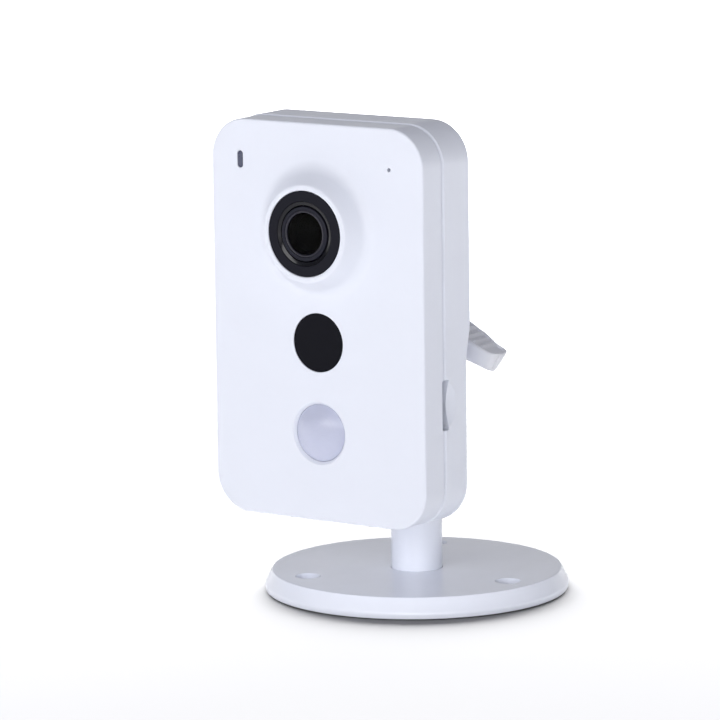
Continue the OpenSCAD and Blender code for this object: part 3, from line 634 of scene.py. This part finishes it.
# ------------------------ lens, windows and lights
def lens():
    """The bezel and its glossy step, the barrel, its retaining ring, two glasses and the stop."""
    at = (0, LENS_Z)
    front_y = BOSS_Y + 0.15
    bezel_back_y = BEZEL_SEAT_Y - 0.05
    bezel = lathe(
        "lens_bezel_ring",
        rounded(
            [
                (7.3, bezel_back_y, 0),
                (10.93, bezel_back_y, 0),
                (10.93, BOSS_Y, 0.22),
                (8.3, BOSS_Y, 0.18),
                (8.25, BOSS_Y + 0.5, 0),
                (7.3, BOSS_Y + 0.5, 0),
            ]
        ),
        at=at,
        turns=160,
    )
    placed(bezel, "head", bezel_black, "black_bezel", "lens_bezel")
    step = lathe(
        "lens_bezel_step",
        rounded([(7.3, -49.0, 0), (8.22, -49.0, 0), (8.22, BOSS_Y + 0.12, 0.05), (7.3, BOSS_Y + 0.42, 0.05)]),
        at=at,
        turns=160,
    )
    placed(step, "head", step_black, "black_bezel")
    barrel = lathe(
        "lens_barrel_body",
        rounded(
            [
                (4.7, -36.0, 0),
                (5.95, -36.0, 0),
                (5.95, -44.5, 0),
                (7.0, -44.5, 0.1),
                (7.0, front_y, 0.25),
                (6.0, front_y, 0.08),
                (6.0, front_y + 2.5, 0),
                (4.7, front_y + 2.5, 0),
            ]
        ),
        at=at,
        turns=160,
    )
    placed(barrel, "head", lens_metal, "lens_metal", "lens_barrel")
    retainer = lathe(
        "lens_retainer",
        rounded([(5.4, -48.0, 0), (5.95, -48.0, 0), (5.95, front_y + 0.02, 0.2), (5.4, front_y + 0.02, 0.3)]),
        at=at,
        turns=160,
    )
    placed(retainer, "head", retainer_black, "black_plastic", "lens_retaining_ring")

    rise, view, rim, parts = 0.3, 5.35, front_y + 0.4, 24
    dome_r = (view**2 + rise**2) / (2 * rise)
    bulge = []
    for i in range(parts, -1, -1):
        r = view * i / parts
        bulge.append((r, rim - rise + dome_r - math.sqrt(dome_r**2 - r * r)))
    seat_r, seat_y, back_y = 5.95, -47.95, front_y + 2.45
    outline = [(0, back_y), (seat_r, back_y), (seat_r, seat_y), (view, seat_y)] + bulge
    front = lathe("front_element", outline, at=at, turns=128, closed=False)
    placed(front, "head", front_glass, "lens_glass", "lens_front_glass")

    inner_r, inner_back_y, inner_front_y, hollow, parts = 4.62, -43.7, -45.65, 0.035, 16
    meniscus = []
    for i in range(parts, -1, -1):
        r = inner_r * i / parts
        meniscus.append((r, inner_front_y + hollow * r * r))
    outline = [(0, inner_back_y), (inner_r, inner_back_y)] + meniscus
    inner = lathe("inner_element", outline, at=at, turns=96, closed=False)
    placed(inner, "head", inner_glass, "lens_glass", "lens_inner_glass")
    stop = lathe(
        "aperture_stop",
        rounded([(1.5, -42.8, 0), (4.68, -42.8, 0), (4.68, -43.4, 0), (2.2, -43.4, 0.1)]),
        at=at,
        turns=96,
    )
    placed(stop, "head", black, "black_plastic")


def windows():
    """The black infrared window, the milky motion dome with its small lenses, and the status light."""
    pane_y = FACE_Y + 0.1
    outline = [(0, WINDOW_SEAT_Y, 0), (WINDOW_R, WINDOW_SEAT_Y, 0), (WINDOW_R, pane_y, 0.14), (0, pane_y, 0)]
    profile = rounded(outline, closed=False, step=15)
    pane = lathe("infrared_window", profile, at=(0, WINDOW_Z), closed=False)
    placed(pane, "head", window, "window_plastic", "ir_window")

    rim, rise, shell_t, flange_t = FACE_Y + 0.75, 2.4, 0.8, 0.8
    dome_r = (MOTION_R**2 + rise**2) / (2 * rise)
    inner_r = dome_r - shell_t
    rows, inner_rows, turns = 64, 16, 192
    groove = 0.025
    bands = [(0.0, 0.17), (0.17, 0.43), (0.43, 0.71), (0.71, 1.0)]
    counts = [1, 6, 11, 15]

    def facet(u, t):
        """How far a point sinks below the dome, from its place in its small lens."""
        for (a, b), count in zip(bands, counts):
            if a <= u <= b + TINY:
                across = (u - a) / (b - a) * 2 - 1
                turn = (t / (2 * math.pi) * count + (0.5 if count == 11 else 0.0)) % 1.0 * 2 - 1
                if count == 1:
                    turn, across = 0.0, u / b
                return groove * max(abs(across) ** 6, abs(turn) ** 8)
        return 0.0

    bm = bmesh.new()

    def ring_at(r, y, u=None):
        """A ring of vertices round the dome's axis, sunk by its small lenses when u is given."""
        ring = []
        for k in range(turns if r > 0 else 1):
            t = 2 * math.pi * k / turns
            sunk = 0.0 if u is None else facet(u, t)
            ring.append(bm.verts.new((r * math.cos(t), y + sunk, MOTION_Z + r * math.sin(t))))
        return ring

    edge_r, flange_r, hollow_r = MOTION_R - 0.02, MOTION_R + 1, MOTION_R - shell_t
    flange_y = INNER_Y + flange_t
    rings = []
    for i in range(rows + 1):
        r = edge_r * i / rows
        rings.append(ring_at(r, rim - rise + dome_r - math.sqrt(dome_r**2 - r * r), i / rows))
    for r, y in ((edge_r, INNER_Y), (flange_r, INNER_Y), (flange_r, flange_y), (hollow_r, flange_y)):
        rings.append(ring_at(r, y))
    for i in range(inner_rows, -1, -1):
        r = hollow_r * i / inner_rows
        rings.append(ring_at(r, rim - rise + dome_r - math.sqrt(inner_r**2 - r * r)))
    for a, b in zip(rings, rings[1:]):
        for k in range(turns):
            j = (k + 1) % turns
            quad = list(dict.fromkeys([a[k % len(a)], a[j % len(a)], b[j % len(b)], b[k % len(b)]]))
            if len(quad) > 2:
                bm.faces.new(quad)
    placed(made("motion_dome", bm), "head", dome, "motion_plastic", "motion_lens", sharp=60)

    bm = bmesh.new()
    steps = [(-0.14, 0.05), (-0.04, 0.09), (0.0, 0.19), (0.0, 1.8)]
    steps += [(0.7, 1.8), (0.7, 2.6), (0.0, 2.6), (0.0, 12.5)]
    rings = lofted(bm, status_loops(steps, 1.6, 4.36))
    filled(bm, rings[0])
    filled(bm, rings[-1])
    placed(made("status_light", bm), "head", light, "light_plastic", "status_light_pipe")


# ------------------------ joint, clamp and lever
def lever_body():
    """The lever, lying along +X: a dished top with a rim at its front and tip, and finger ribs across it."""
    front_r, back_r, taper = 2.5, 3.0, 10.0
    foot_front_r, foot_back_r = 1.2, 6.2
    edge_r, edge_parts, across = 0.6, 7, 44
    dish_depth, dish_rim, dish_from, dish_slope = 0.6, 1.0, 17.0, 4.0
    ribs, rib_pitch, rib_r = 6, 2.5, 0.75
    last_rib, rib_start_y = LEVER_REACH - 5.2, LEVER_FRONT_Y + 2.4
    rows, tip_rows = 84, 22
    tip_start = LEVER_REACH - front_r
    tip_turns = [math.radians(90 * i / tip_rows) for i in range(tip_rows + 1)]
    us = [LEVER_ROOT + (tip_start - LEVER_ROOT) * i / rows for i in range(rows)]
    us += [tip_start + front_r * math.sin(a) * 0.999 for a in tip_turns]

    def smooth(t):
        t = min(1.0, max(0.0, t))
        return t * t * (3 - 2 * t)

    def corner(u, r):
        """How far the lever's side is from its edge line beside a round corner at its tip."""
        into = max(0.0, u - (LEVER_REACH - r))
        return r - math.sqrt(max(r * r - into * into, 0.0))

    def relief(u, y, y0, y1):
        """How far the top stands above its plain surface: the ribs, less the dish."""
        rim = min(y - y0, LEVER_REACH - u)
        dish = dish_depth * smooth((rim - dish_rim) / 0.5) * smooth((u - dish_from) / dish_slope)
        rib = 0.0
        for k in range(ribs):
            away = math.hypot(u - (last_rib - rib_pitch * k), max(0.0, rib_start_y - y))
            if away < rib_r:
                rib = max(rib, rib_r * math.cos(math.pi / 2 * away / rib_r) ** 1.1)
        return rib * smooth((y1 - y) / 1.2) - dish

    def edge(u, y, v, start):
        """A quarter round without its ends, turning down from an angle about a middle."""
        turns = [math.radians(start - 90 * i / edge_parts) for i in range(1, edge_parts)]
        return [(u, y + edge_r * math.cos(a), v + edge_r * math.sin(a)) for a in turns]

    loops = []
    for u in us:
        flare = max(0.0, LEVER_REACH - LEVER_HALF_T - u) / (LEVER_REACH - LEVER_ROOT)
        top = LEVER_MID_V + LEVER_HALF_T + 5 * flare**1.6
        low = LEVER_MID_V - LEVER_HALF_T - flare**2
        slope = smooth((u - LEVER_REACH + taper) / (taper - back_r))
        back = LEVER_BACK_Y + (LEVER_TIP_BACK_Y - LEVER_BACK_Y) * slope
        y0, y1 = LEVER_FRONT_Y + corner(u, front_r), back - corner(u, back_r)
        foot_y0, foot_y1 = LEVER_FRONT_Y + corner(u, foot_front_r), back - corner(u, foot_back_r)
        loop = []
        for i in range(across + 1):
            y = y0 + edge_r + (y1 - y0 - 2 * edge_r) * i / across
            loop.append((u, y, top + relief(u, y, y0, y1)))
        loop += edge(u, y1 - edge_r, top - edge_r, 90)
        loop += [(u, y1, top - edge_r), (u, foot_y1, low + edge_r)]
        loop += edge(u, foot_y1 - edge_r, low + edge_r, 0)
        for s in (0.0, 0.33, 0.67, 1.0):
            loop.append((u, foot_y1 - edge_r + (foot_y0 + 2 * edge_r - foot_y1) * s, low))
        loop += edge(u, foot_y0 + edge_r, low + edge_r, -90)
        loop += [(u, foot_y0, low + edge_r), (u, y0, top - edge_r)]
        loop += edge(u, y0 + edge_r, top - edge_r, 180)
        loops.append(loop)
    tip = loops[-1]
    centre_v = sum(v for _, _, v in tip) / len(tip)
    centre_y = sum(y for _, y, _ in tip) / len(tip)
    tip_in, tip_out, tip_parts = 0.55, 0.35, 5
    for i in range(1, tip_parts):
        a = math.radians(90 * i / tip_parts)
        pull, out = tip_in * (1 - math.cos(a)), tip_out * math.sin(a)
        loop = []
        for u, y, v in tip:
            k = 1 - pull / math.hypot(y - centre_y, v - centre_v)
            loop.append((u + out, centre_y + (y - centre_y) * k, centre_v + (v - centre_v) * k))
        loops.append(loop)
    bm = bmesh.new()
    rings = lofted(bm, loops)
    filled(bm, rings[0])
    filled(bm, rings[-1])
    lever = made("lever_body", bm)
    lever.data.transform(Matrix.Translation((0, 0, BALL_Z)) @ Matrix.Rotation(LEVER_DROP, 4, "Y"))
    return lever


def clamp():
    """The clamp's ring, with grip grooves where the lever isn't, and the lever joined to it."""
    ring_r, edge_r, bore_r, front_y, back_y = 15.6, 0.6, 12.55, -20.7, -10.2
    groove_depth, groove_half_w = 0.5, 0.85
    grips = [math.radians(360 * i / 20) - LEVER_DROP for i in range(2, 19)]

    def grip(r, t):
        rim = r - (ring_r - edge_r)
        if rim < 0:
            return r
        depth = 0.0
        for a in grips:
            away = abs((t - a + math.pi) % (2 * math.pi) - math.pi) * ring_r
            if away < groove_half_w:
                bow = math.cos(math.pi / 2 * away / groove_half_w) ** 1.2
                depth = max(depth, groove_depth * bow)
        return r - depth * min(1.0, rim / edge_r)

    profile = rounded(
        [
            (bore_r, front_y, 0.3),
            (ring_r, front_y, edge_r),
            (ring_r, back_y, edge_r),
            (14.4, back_y, 0.2),
            (14.4, -13.6, 0.1),
            (bore_r, -13.6, 0.1),
        ],
        step=15,
    )
    ring = lathe("clamp_ring_and_lever", profile, at=(0, BALL_Z), turns=720, shape=grip)
    carve(ring, lever_body(), how="UNION")
    placed(ring, "clamp", white_joint, "white_joint", "clamp_ring", sharp=45)


def joint():
    """The socket, a tube with a round end, and the liner in it. Both have a slot for the neck."""
    z = BALL_Z
    flange_r, flange_front_y, flange_back_y = 17.6, -26.9, -24.9
    outer = [
        (flange_r, flange_front_y, 0),
        (flange_r, flange_back_y, 0.2),
        (SOCKET_R, flange_back_y, 0),
        (SOCKET_R, -0.5, 0),
    ]
    profile = rounded(outer, closed=False)
    profile += quarter_circle(SOCKET_R) + quarter_circle(SOCKET_BORE_R)[::-1]
    profile.append((SOCKET_BORE_R, flange_front_y))
    socket = lathe("ball_socket_shell", profile, at=(0, z), turns=128)
    carve(
        socket,
        brick("slot_low", (-6.1, -8.4, z - 15), (6.1, 15, z + 0.2), 1.6, "Z"),
        brick("slot_back", (-6.1, 0, z - 2), (6.1, 15, z + 5.1), 1.2, "Y"),
    )
    eased(socket, 0.35, angle=50, segments=3)
    placed(socket, "head", white_joint, "white_joint", "ball_socket")

    liner = ball("friction_liner_shell", (0, 0, z), 9.05)
    carve(liner, ball("liner_bore", (0, 0, z), 7.8))
    carve(
        liner,
        brick("liner_low", (-4.8, -7.4, z - 15), (4.8, 15, z + 0.2), 1.0, "Z"),
        brick("liner_back", (-4.8, 0, z - 2), (4.8, 15, z + 4.8), 0.8, "Y"),
    )
    eased(liner, 0.12, angle=50)
    placed(liner, "liner", grey, "grey_plastic", "friction_liner")


# ------------------------ stand
def stand():
    """The swivel with its ball, the post and the base. Returns the post and the base."""
    pin_low_z, collar_low_z = 43.7, 57.8
    profile = rounded(
        [
            (0, pin_low_z, 0),
            (3.5, pin_low_z, 0.3),
            (3.5, collar_low_z, 0),
            (POST_R, collar_low_z, 0.25),
            (POST_R, 58.7, 0.5),
            (NECK_R, 61.4, 1.6),
            (NECK_R, BALL_Z - 6.0, 0),
        ],
        closed=False,
    )[:-1]
    neck, parts = math.asin(NECK_R / BALL_R), 36
    for i in range(parts):
        a = -math.pi / 2 + neck + (math.pi - neck) * i / parts
        profile.append((BALL_R * math.cos(a), BALL_Z + BALL_R * math.sin(a)))
    profile.append((0.0, BALL_Z + BALL_R))
    swivel = lathe("swivel_with_ball", profile, axis="Z", turns=128, closed=False)
    placed(swivel, "swivel", white_joint, "white_joint", "swivel_ball")

    bore_r, flange_r, flange_low_z, ledge_z, post_top_z = 4.6, 14.0, 1.5, 44.0, 57.5
    post = lathe(
        "post_body",
        rounded(
            [
                (bore_r, flange_low_z, 0),
                (flange_r, flange_low_z, 0),
                (flange_r, FLANGE_TOP_Z, 0),
                (POST_R, FLANGE_TOP_Z, 0),
                (POST_R, post_top_z, 0.35),
                (3.58, post_top_z, 0.2),
                (3.58, ledge_z, 0),
                (bore_r, ledge_z, 0),
            ]
        ),
        axis="Z",
        turns=128,
    )
    placed(post, "stand", white_gloss, "white_plastic", "stand_post")

    seat_r, neck_hole_r = flange_r + 0.2, POST_R + 0.09
    profile = rounded(
        [
            (34.5, DISC_FOOT_Z, 0),
            (39.8, DISC_FOOT_Z, 0.3),
            (40.1, 1.8, 1.6),
            (38.1, DISC_TOP_Z, 0.35),
            (37.2, DISC_TOP_Z, 0),
            (7.6, DISC_TOP_Z, 0),
            (neck_hole_r, DISC_TOP_Z, 0.18),
            (neck_hole_r, FLANGE_TOP_Z, 0),
            (seat_r, FLANGE_TOP_Z, 0),
            (seat_r, DISC_FOOT_Z, 0),
        ],
        closed=False,
    )
    disc = lathe("base_disc_body", profile, axis="Z", turns=256)
    pocket_in_r, pocket_out_r = 16.5, 33.4
    profile = [
        (pocket_in_r, -1),
        (pocket_out_r, -1),
        (pocket_out_r, FLANGE_TOP_Z),
        (pocket_in_r, FLANGE_TOP_Z),
    ]
    pocket = lathe("pocket", profile, axis="Z", turns=128)
    turn = math.radians(-5.5)
    keep = []
    for i in range(6):
        rib = brick("rib", (10, -0.7, -2), (41, 0.7, 5), 0.0, "X")
        rib.data.transform(Matrix.Rotation(turn + math.pi / 3 * i, 4, "Z"))
        keep.append(rib)
    hole_circle_r, hole_r, hole_boss_r = 30.5, 1.9, 5
    boss = [(0, -2), (hole_boss_r, -2), (hole_boss_r, 5), (0, 5)]
    bore = [(0, -2, 0), (hole_r, -2, 0), (hole_r, 4.2, 0.4), (3.7, 6.0, 0), (3.7, 8, 0), (0, 8, 0)]
    bore = rounded(bore, closed=False, step=12)
    holes = []
    for i in range(3):
        a = turn + 2 * math.pi / 3 * i
        at = (hole_circle_r * math.cos(a), hole_circle_r * math.sin(a))
        keep.append(lathe("hole_boss", boss, at=at, axis="Z", turns=64, closed=False))
        holes.append(lathe("screw_hole", bore, at=at, axis="Z", turns=72, closed=False))
    carve(pocket, *keep)
    carve(disc, pocket)
    carve(disc, *holes)
    eased(disc, 0.14, angle=32)
    placed(disc, "stand", white_gloss, "white_plastic", "base_disc")
    return [post, disc]


# ------------------------ buttons, screws and plain nodes
def buttons():
    """The two sprung buttons, each with a flange behind the cover and a dished top."""
    foot_y, flange_y, flange_top_y, flange_out = -33.2, -29.2, -28.4, 0.9
    for name, at, r, top, surface, slot in (
        ("wps", WPS, 2.3, -24.5, white_button, "white_button"),
        ("reset", RESET, 1.1, -25.9, grey, "grey_plastic"),
    ):
        profile = rounded(
            [
                (0, foot_y, 0),
                (r, foot_y, 0),
                (r, flange_y, 0),
                (r + flange_out, flange_y, 0.1),
                (r + flange_out, flange_top_y, 0.1),
                (r, flange_top_y, 0),
                (r, top, 0.25),
                (r * 0.55, top - 0.12, 0.4),
                (0, top - 0.14, 0),
            ],
            closed=False,
            step=15,
        )
        cap = lathe(name + "_button_cap", profile, at=at, turns=64, closed=False)
        placed(cap, name, surface, slot, name + "_button")


def cover_screws():
    """The four screws of the rear cover as one piece, each turned to its own angle."""
    thread_r, head_r, head_t, sunk = 1.25, 2.3, 1.4, 1.0
    arm, half_w, recess_depth = 1.35, 0.28, 0.7
    heads = []
    for n, (x, z) in enumerate(COVER_SCREWS):
        top = (REAR_TOP_Y if z > BALL_Z else REAR_LOW_Y) - sunk
        profile = rounded(
            [
                (0, top - 9.9, 0),
                (thread_r, top - 9.4, 0),
                (thread_r, top - head_t, 0),
                (head_r, top - head_t, 0.1),
                (head_r, top - 0.2, 0.3),
                (1.6, top, 0.6),
                (0, top, 0),
            ],
            closed=False,
            step=15,
        )
        head = lathe("screw_head", profile, at=(x, z), turns=64, closed=False)
        turn = Matrix.Translation((x, 0, z)) @ Matrix.Rotation(0.5 + 1.1 * n, 4, "Y")
        turn = turn @ Matrix.Translation((-x, 0, -z))
        for w, h in ((arm, half_w), (half_w, arm)):
            low, high = (x - w, top - recess_depth, z - h), (x + w, top + 1, z + h)
            bar = brick("recess", low, high, 0.12, "Y")
            bar.data.transform(turn)
            carve(head, bar)
        heads.append(head)
    bm = bmesh.new()
    for head in heads:
        bm.from_mesh(head.data)
        bpy.data.objects.remove(head)
    screws = made("cover_screw_set", bm)
    eased(screws, 0.06, angle=50)
    placed(screws, "head", steel, "steel", "cover_screws")


CARRIED = {
    "status_led": grey,
    "microphone": tin,
    "microphone_boot": rubber,
    "lens_holder": black,
    "ir_cut_frame": black,
    "ir_cut_slider": grey,
    "ir_cut_glass": filter_pane,
    "clear_glass": filter_pane,
    "ir_cut_coil": copper,
    "image_sensor": chip,
    "main_board": board,
    "processor": chip,
    "heat_sink": alloy,
    "wifi_module": tin,
    "wifi_antenna": gold,
    "antenna_lead": rubber,
    "ir_led": gold,
    "light_sensor": grey,
    "motion_sensor": tin,
    "io_board": board,
    "ribbon_cable": film,
    "ethernet_jack": black,
    "ethernet_contacts": gold,
    "power_jack": black,
    "power_pin": steel,
    "card_socket": tin,
    "tact_switches": black,
    "speaker": black,
    "board_screws": steel,
    "socket_screws": steel,
    "ball_retainer": grey,
    "thrust_ring": steel,
    "swivel_washer": steel,
    "swivel_screw": steel,
    "post_screws": steel,
    "base_pad": rubber,
}


def carried_nodes():
    """CAD nodes whose shape is right keep it, with eased edges and their own finish."""
    for name, surface in CARRIED.items():
        piece = nodes[name]
        smoothed(piece, surface, 35)
        low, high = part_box(name)
        ease = piece.modifiers.new("ease", "BEVEL")
        ease.width = min(0.12 * MM, 0.08 * min(high - low))
        ease.segments = 2
        ease.limit_method = "ANGLE"
        ease.angle_limit = math.radians(40)
        flat_faces_first(piece, 50)


# ------------------------ stage, light and camera
def stage():
    """A pale round floor with a painted glow: though it is no lamp, it emits light far from the object, to
    meet the white behind it.
    """
    floor_r, painted_glow_from, painted_glow_to, painted_glow_strength = 9.0, 0.2, 1.4, 0.9
    bm = bmesh.new()
    bmesh.ops.create_circle(bm, cap_ends=True, segments=96, radius=floor_r)
    mesh = bpy.data.meshes.new("floor")
    bm.to_mesh(mesh)
    bm.free()
    floor = bpy.data.objects.new("floor", mesh)
    bpy.context.scene.collection.objects.link(floor)
    pale = finish(
        "pale_floor",
        (0.56, 0.56, 0.565),
        0.9,
        shade=0.004,
        patch=6,
        grain=900,
        grain_strength=0.02,
        specular=0.0,
    )
    tree = pale.node_tree
    shader = tree.nodes["Principled BSDF"]
    # painted glow: the floor's own emission stands in for light. It is none within 0.2 m of the object and
    # rises to 0.9 by 1.4 m.
    shader.inputs["Emission Color"].default_value = (1, 1, 1, 1)
    reach = tree.nodes.new("ShaderNodeVectorMath")
    reach.operation = "LENGTH"
    painted_glow = tree.nodes.new("ShaderNodeMapRange")
    painted_glow.interpolation_type = "SMOOTHSTEP"
    painted_glow.inputs["From Min"].default_value = painted_glow_from
    painted_glow.inputs["From Max"].default_value = painted_glow_to
    painted_glow.inputs["To Max"].default_value = painted_glow_strength
    tree.links.new(tree.nodes["Texture Coordinate"].outputs["Object"], reach.inputs[0])
    tree.links.new(reach.outputs["Value"], painted_glow.inputs["Value"])
    tree.links.new(painted_glow.outputs["Result"], shader.inputs["Emission Strength"])
    mesh.materials.append(pale)
    return floor


def lamp(name, place, aim, size, power, only=(), shadow_of=None):
    """A white area lamp. It lights only some pieces, and only one casts its shadow, if they are given."""
    data = bpy.data.lights.new(name, "AREA")
    data.shape = "RECTANGLE"
    data.size, data.size_y = size
    data.energy = power
    piece = bpy.data.objects.new(name, data)
    bpy.context.scene.collection.objects.link(piece)
    piece.location = place
    piece.rotation_mode = "QUATERNION"
    piece.rotation_quaternion = (Vector(aim) - Vector(place)).to_track_quat("-Z", "Y")
    if only:
        group = bpy.data.collections.new(name + "_lights")
        for target in only:
            group.objects.link(target)
        piece.light_linking.receiver_collection = group
    if shadow_of is not None:
        group = bpy.data.collections.new(name + "_blockers")
        group.objects.link(shadow_of)
        piece.light_linking.blocker_collection = group


def sky():
    """Soft surroundings: white at the horizon, dim above it, and a white wall behind the object."""
    white_light = (1.0, 1.0, 1.0, 1.0)
    overhead = (0.37, 0.373, 0.413, 1.0)
    steps = ((0.035, 1.0), (0.065, 0.1), (0.3, 0.18), (0.6, 0.38))
    blue = 1.06
    wall_direction = (-0.567, 0.824, 0.0)
    wall_fades_out, wall_full = 0.35, 0.8
    wall_top, wall_full_height = 0.34, 0.18
    world = bpy.data.worlds.new("studio")
    bpy.context.scene.world = world
    world.use_nodes = True
    tree = world.node_tree
    back = tree.nodes["Background"]
    where = tree.nodes.new("ShaderNodeTexCoord")
    split = tree.nodes.new("ShaderNodeSeparateXYZ")
    ramp = tree.nodes.new("ShaderNodeValToRGB")
    ramp.color_ramp.elements[0].position = 0.0
    ramp.color_ramp.elements[0].color = white_light
    ramp.color_ramp.elements[1].position = 1.0
    ramp.color_ramp.elements[1].color = overhead
    for at, level in steps:
        step = ramp.color_ramp.elements.new(at)
        step.color = (level, level, min(1.0, level * blue), 1.0)
    wall = tree.nodes.new("ShaderNodeVectorMath")
    wall.operation = "DOT_PRODUCT"
    wall.inputs[1].default_value = wall_direction
    width = tree.nodes.new("ShaderNodeMapRange")
    width.inputs["From Min"].default_value = wall_fades_out
    width.inputs["From Max"].default_value = wall_full
    height = tree.nodes.new("ShaderNodeMapRange")
    height.inputs["From Min"].default_value = wall_top
    height.inputs["From Max"].default_value = wall_full_height
    both = tree.nodes.new("ShaderNodeMath")
    both.operation = "MULTIPLY"
    mix = tree.nodes.new("ShaderNodeMix")
    mix.data_type = "RGBA"
    mix.inputs[MIX_B].default_value = white_light
    link = tree.links.new
    link(where.outputs["Generated"], split.inputs[0])
    link(where.outputs["Generated"], wall.inputs[0])
    link(split.outputs["Z"], ramp.inputs[0])
    link(split.outputs["Z"], height.inputs["Value"])
    link(wall.outputs["Value"], width.inputs["Value"])
    link(width.outputs["Result"], both.inputs[0])
    link(height.outputs["Result"], both.inputs[1])
    link(both.outputs[0], mix.inputs[0])
    link(ramp.outputs[0], mix.inputs[MIX_A])
    link(mix.outputs[MIX_RESULT], back.inputs[0])
    back.inputs[1].default_value = 1.0


def camera():
    """The photo's camera, from the front right and a little above."""
    azimuth, elevation, roll = math.radians(34.527), math.radians(9.690), math.radians(-0.7211)
    place = (0.68559, -1.02182, 0.27116)
    level = math.cos(elevation)
    back = Vector((math.sin(azimuth) * level, -math.cos(azimuth) * level, math.sin(elevation)))
    right = Vector((math.cos(azimuth), math.sin(azimuth), 0.0))
    up = back.cross(right)
    x = right * math.cos(roll) + up * math.sin(roll)
    y = -right * math.sin(roll) + up * math.cos(roll)
    data = bpy.data.cameras.new("camera")
    data.sensor_width = 36.0
    data.lens = 238.3
    data.clip_start, data.clip_end = 0.01, 50.0
    view = bpy.data.objects.new("camera", data)
    bpy.context.scene.collection.objects.link(view)
    turned = Matrix((x, y, back)).transposed().to_4x4()
    view.matrix_world = Matrix.Translation(place) @ turned
    bpy.context.scene.camera = view


placed(front_cover(), "head", white, "white_plastic", "front_cover")
placed(rear_cover(), "head", white, "white_plastic", "rear_cover")
lens()
windows()
clamp()
joint()
stand_pieces = stand()
buttons()
cover_screws()
carried_nodes()
ground = stage()
sky()
lamp("front_softbox", (0.24, -1.56, 0.52), (0.0, 0.0, 0.07), (2.1, 0.45), 12.8)
lamp("stand_fill", (0.95, -1.15, 0.12), (0.0, 0.0, 0.03), (1.4, 0.3), 7.8, only=stand_pieces)
lamp(
    "floor_wash",
    (-1.36, 1.98, 1.25),
    (0.0, 0.0, 0.0),
    (3.2, 1.8),
    690.0,
    only=[ground],
    shadow_of=stand_pieces[1],
)
camera()
scene = bpy.context.scene
scene.view_settings.view_transform = "Standard"
scene.view_settings.look = "None"
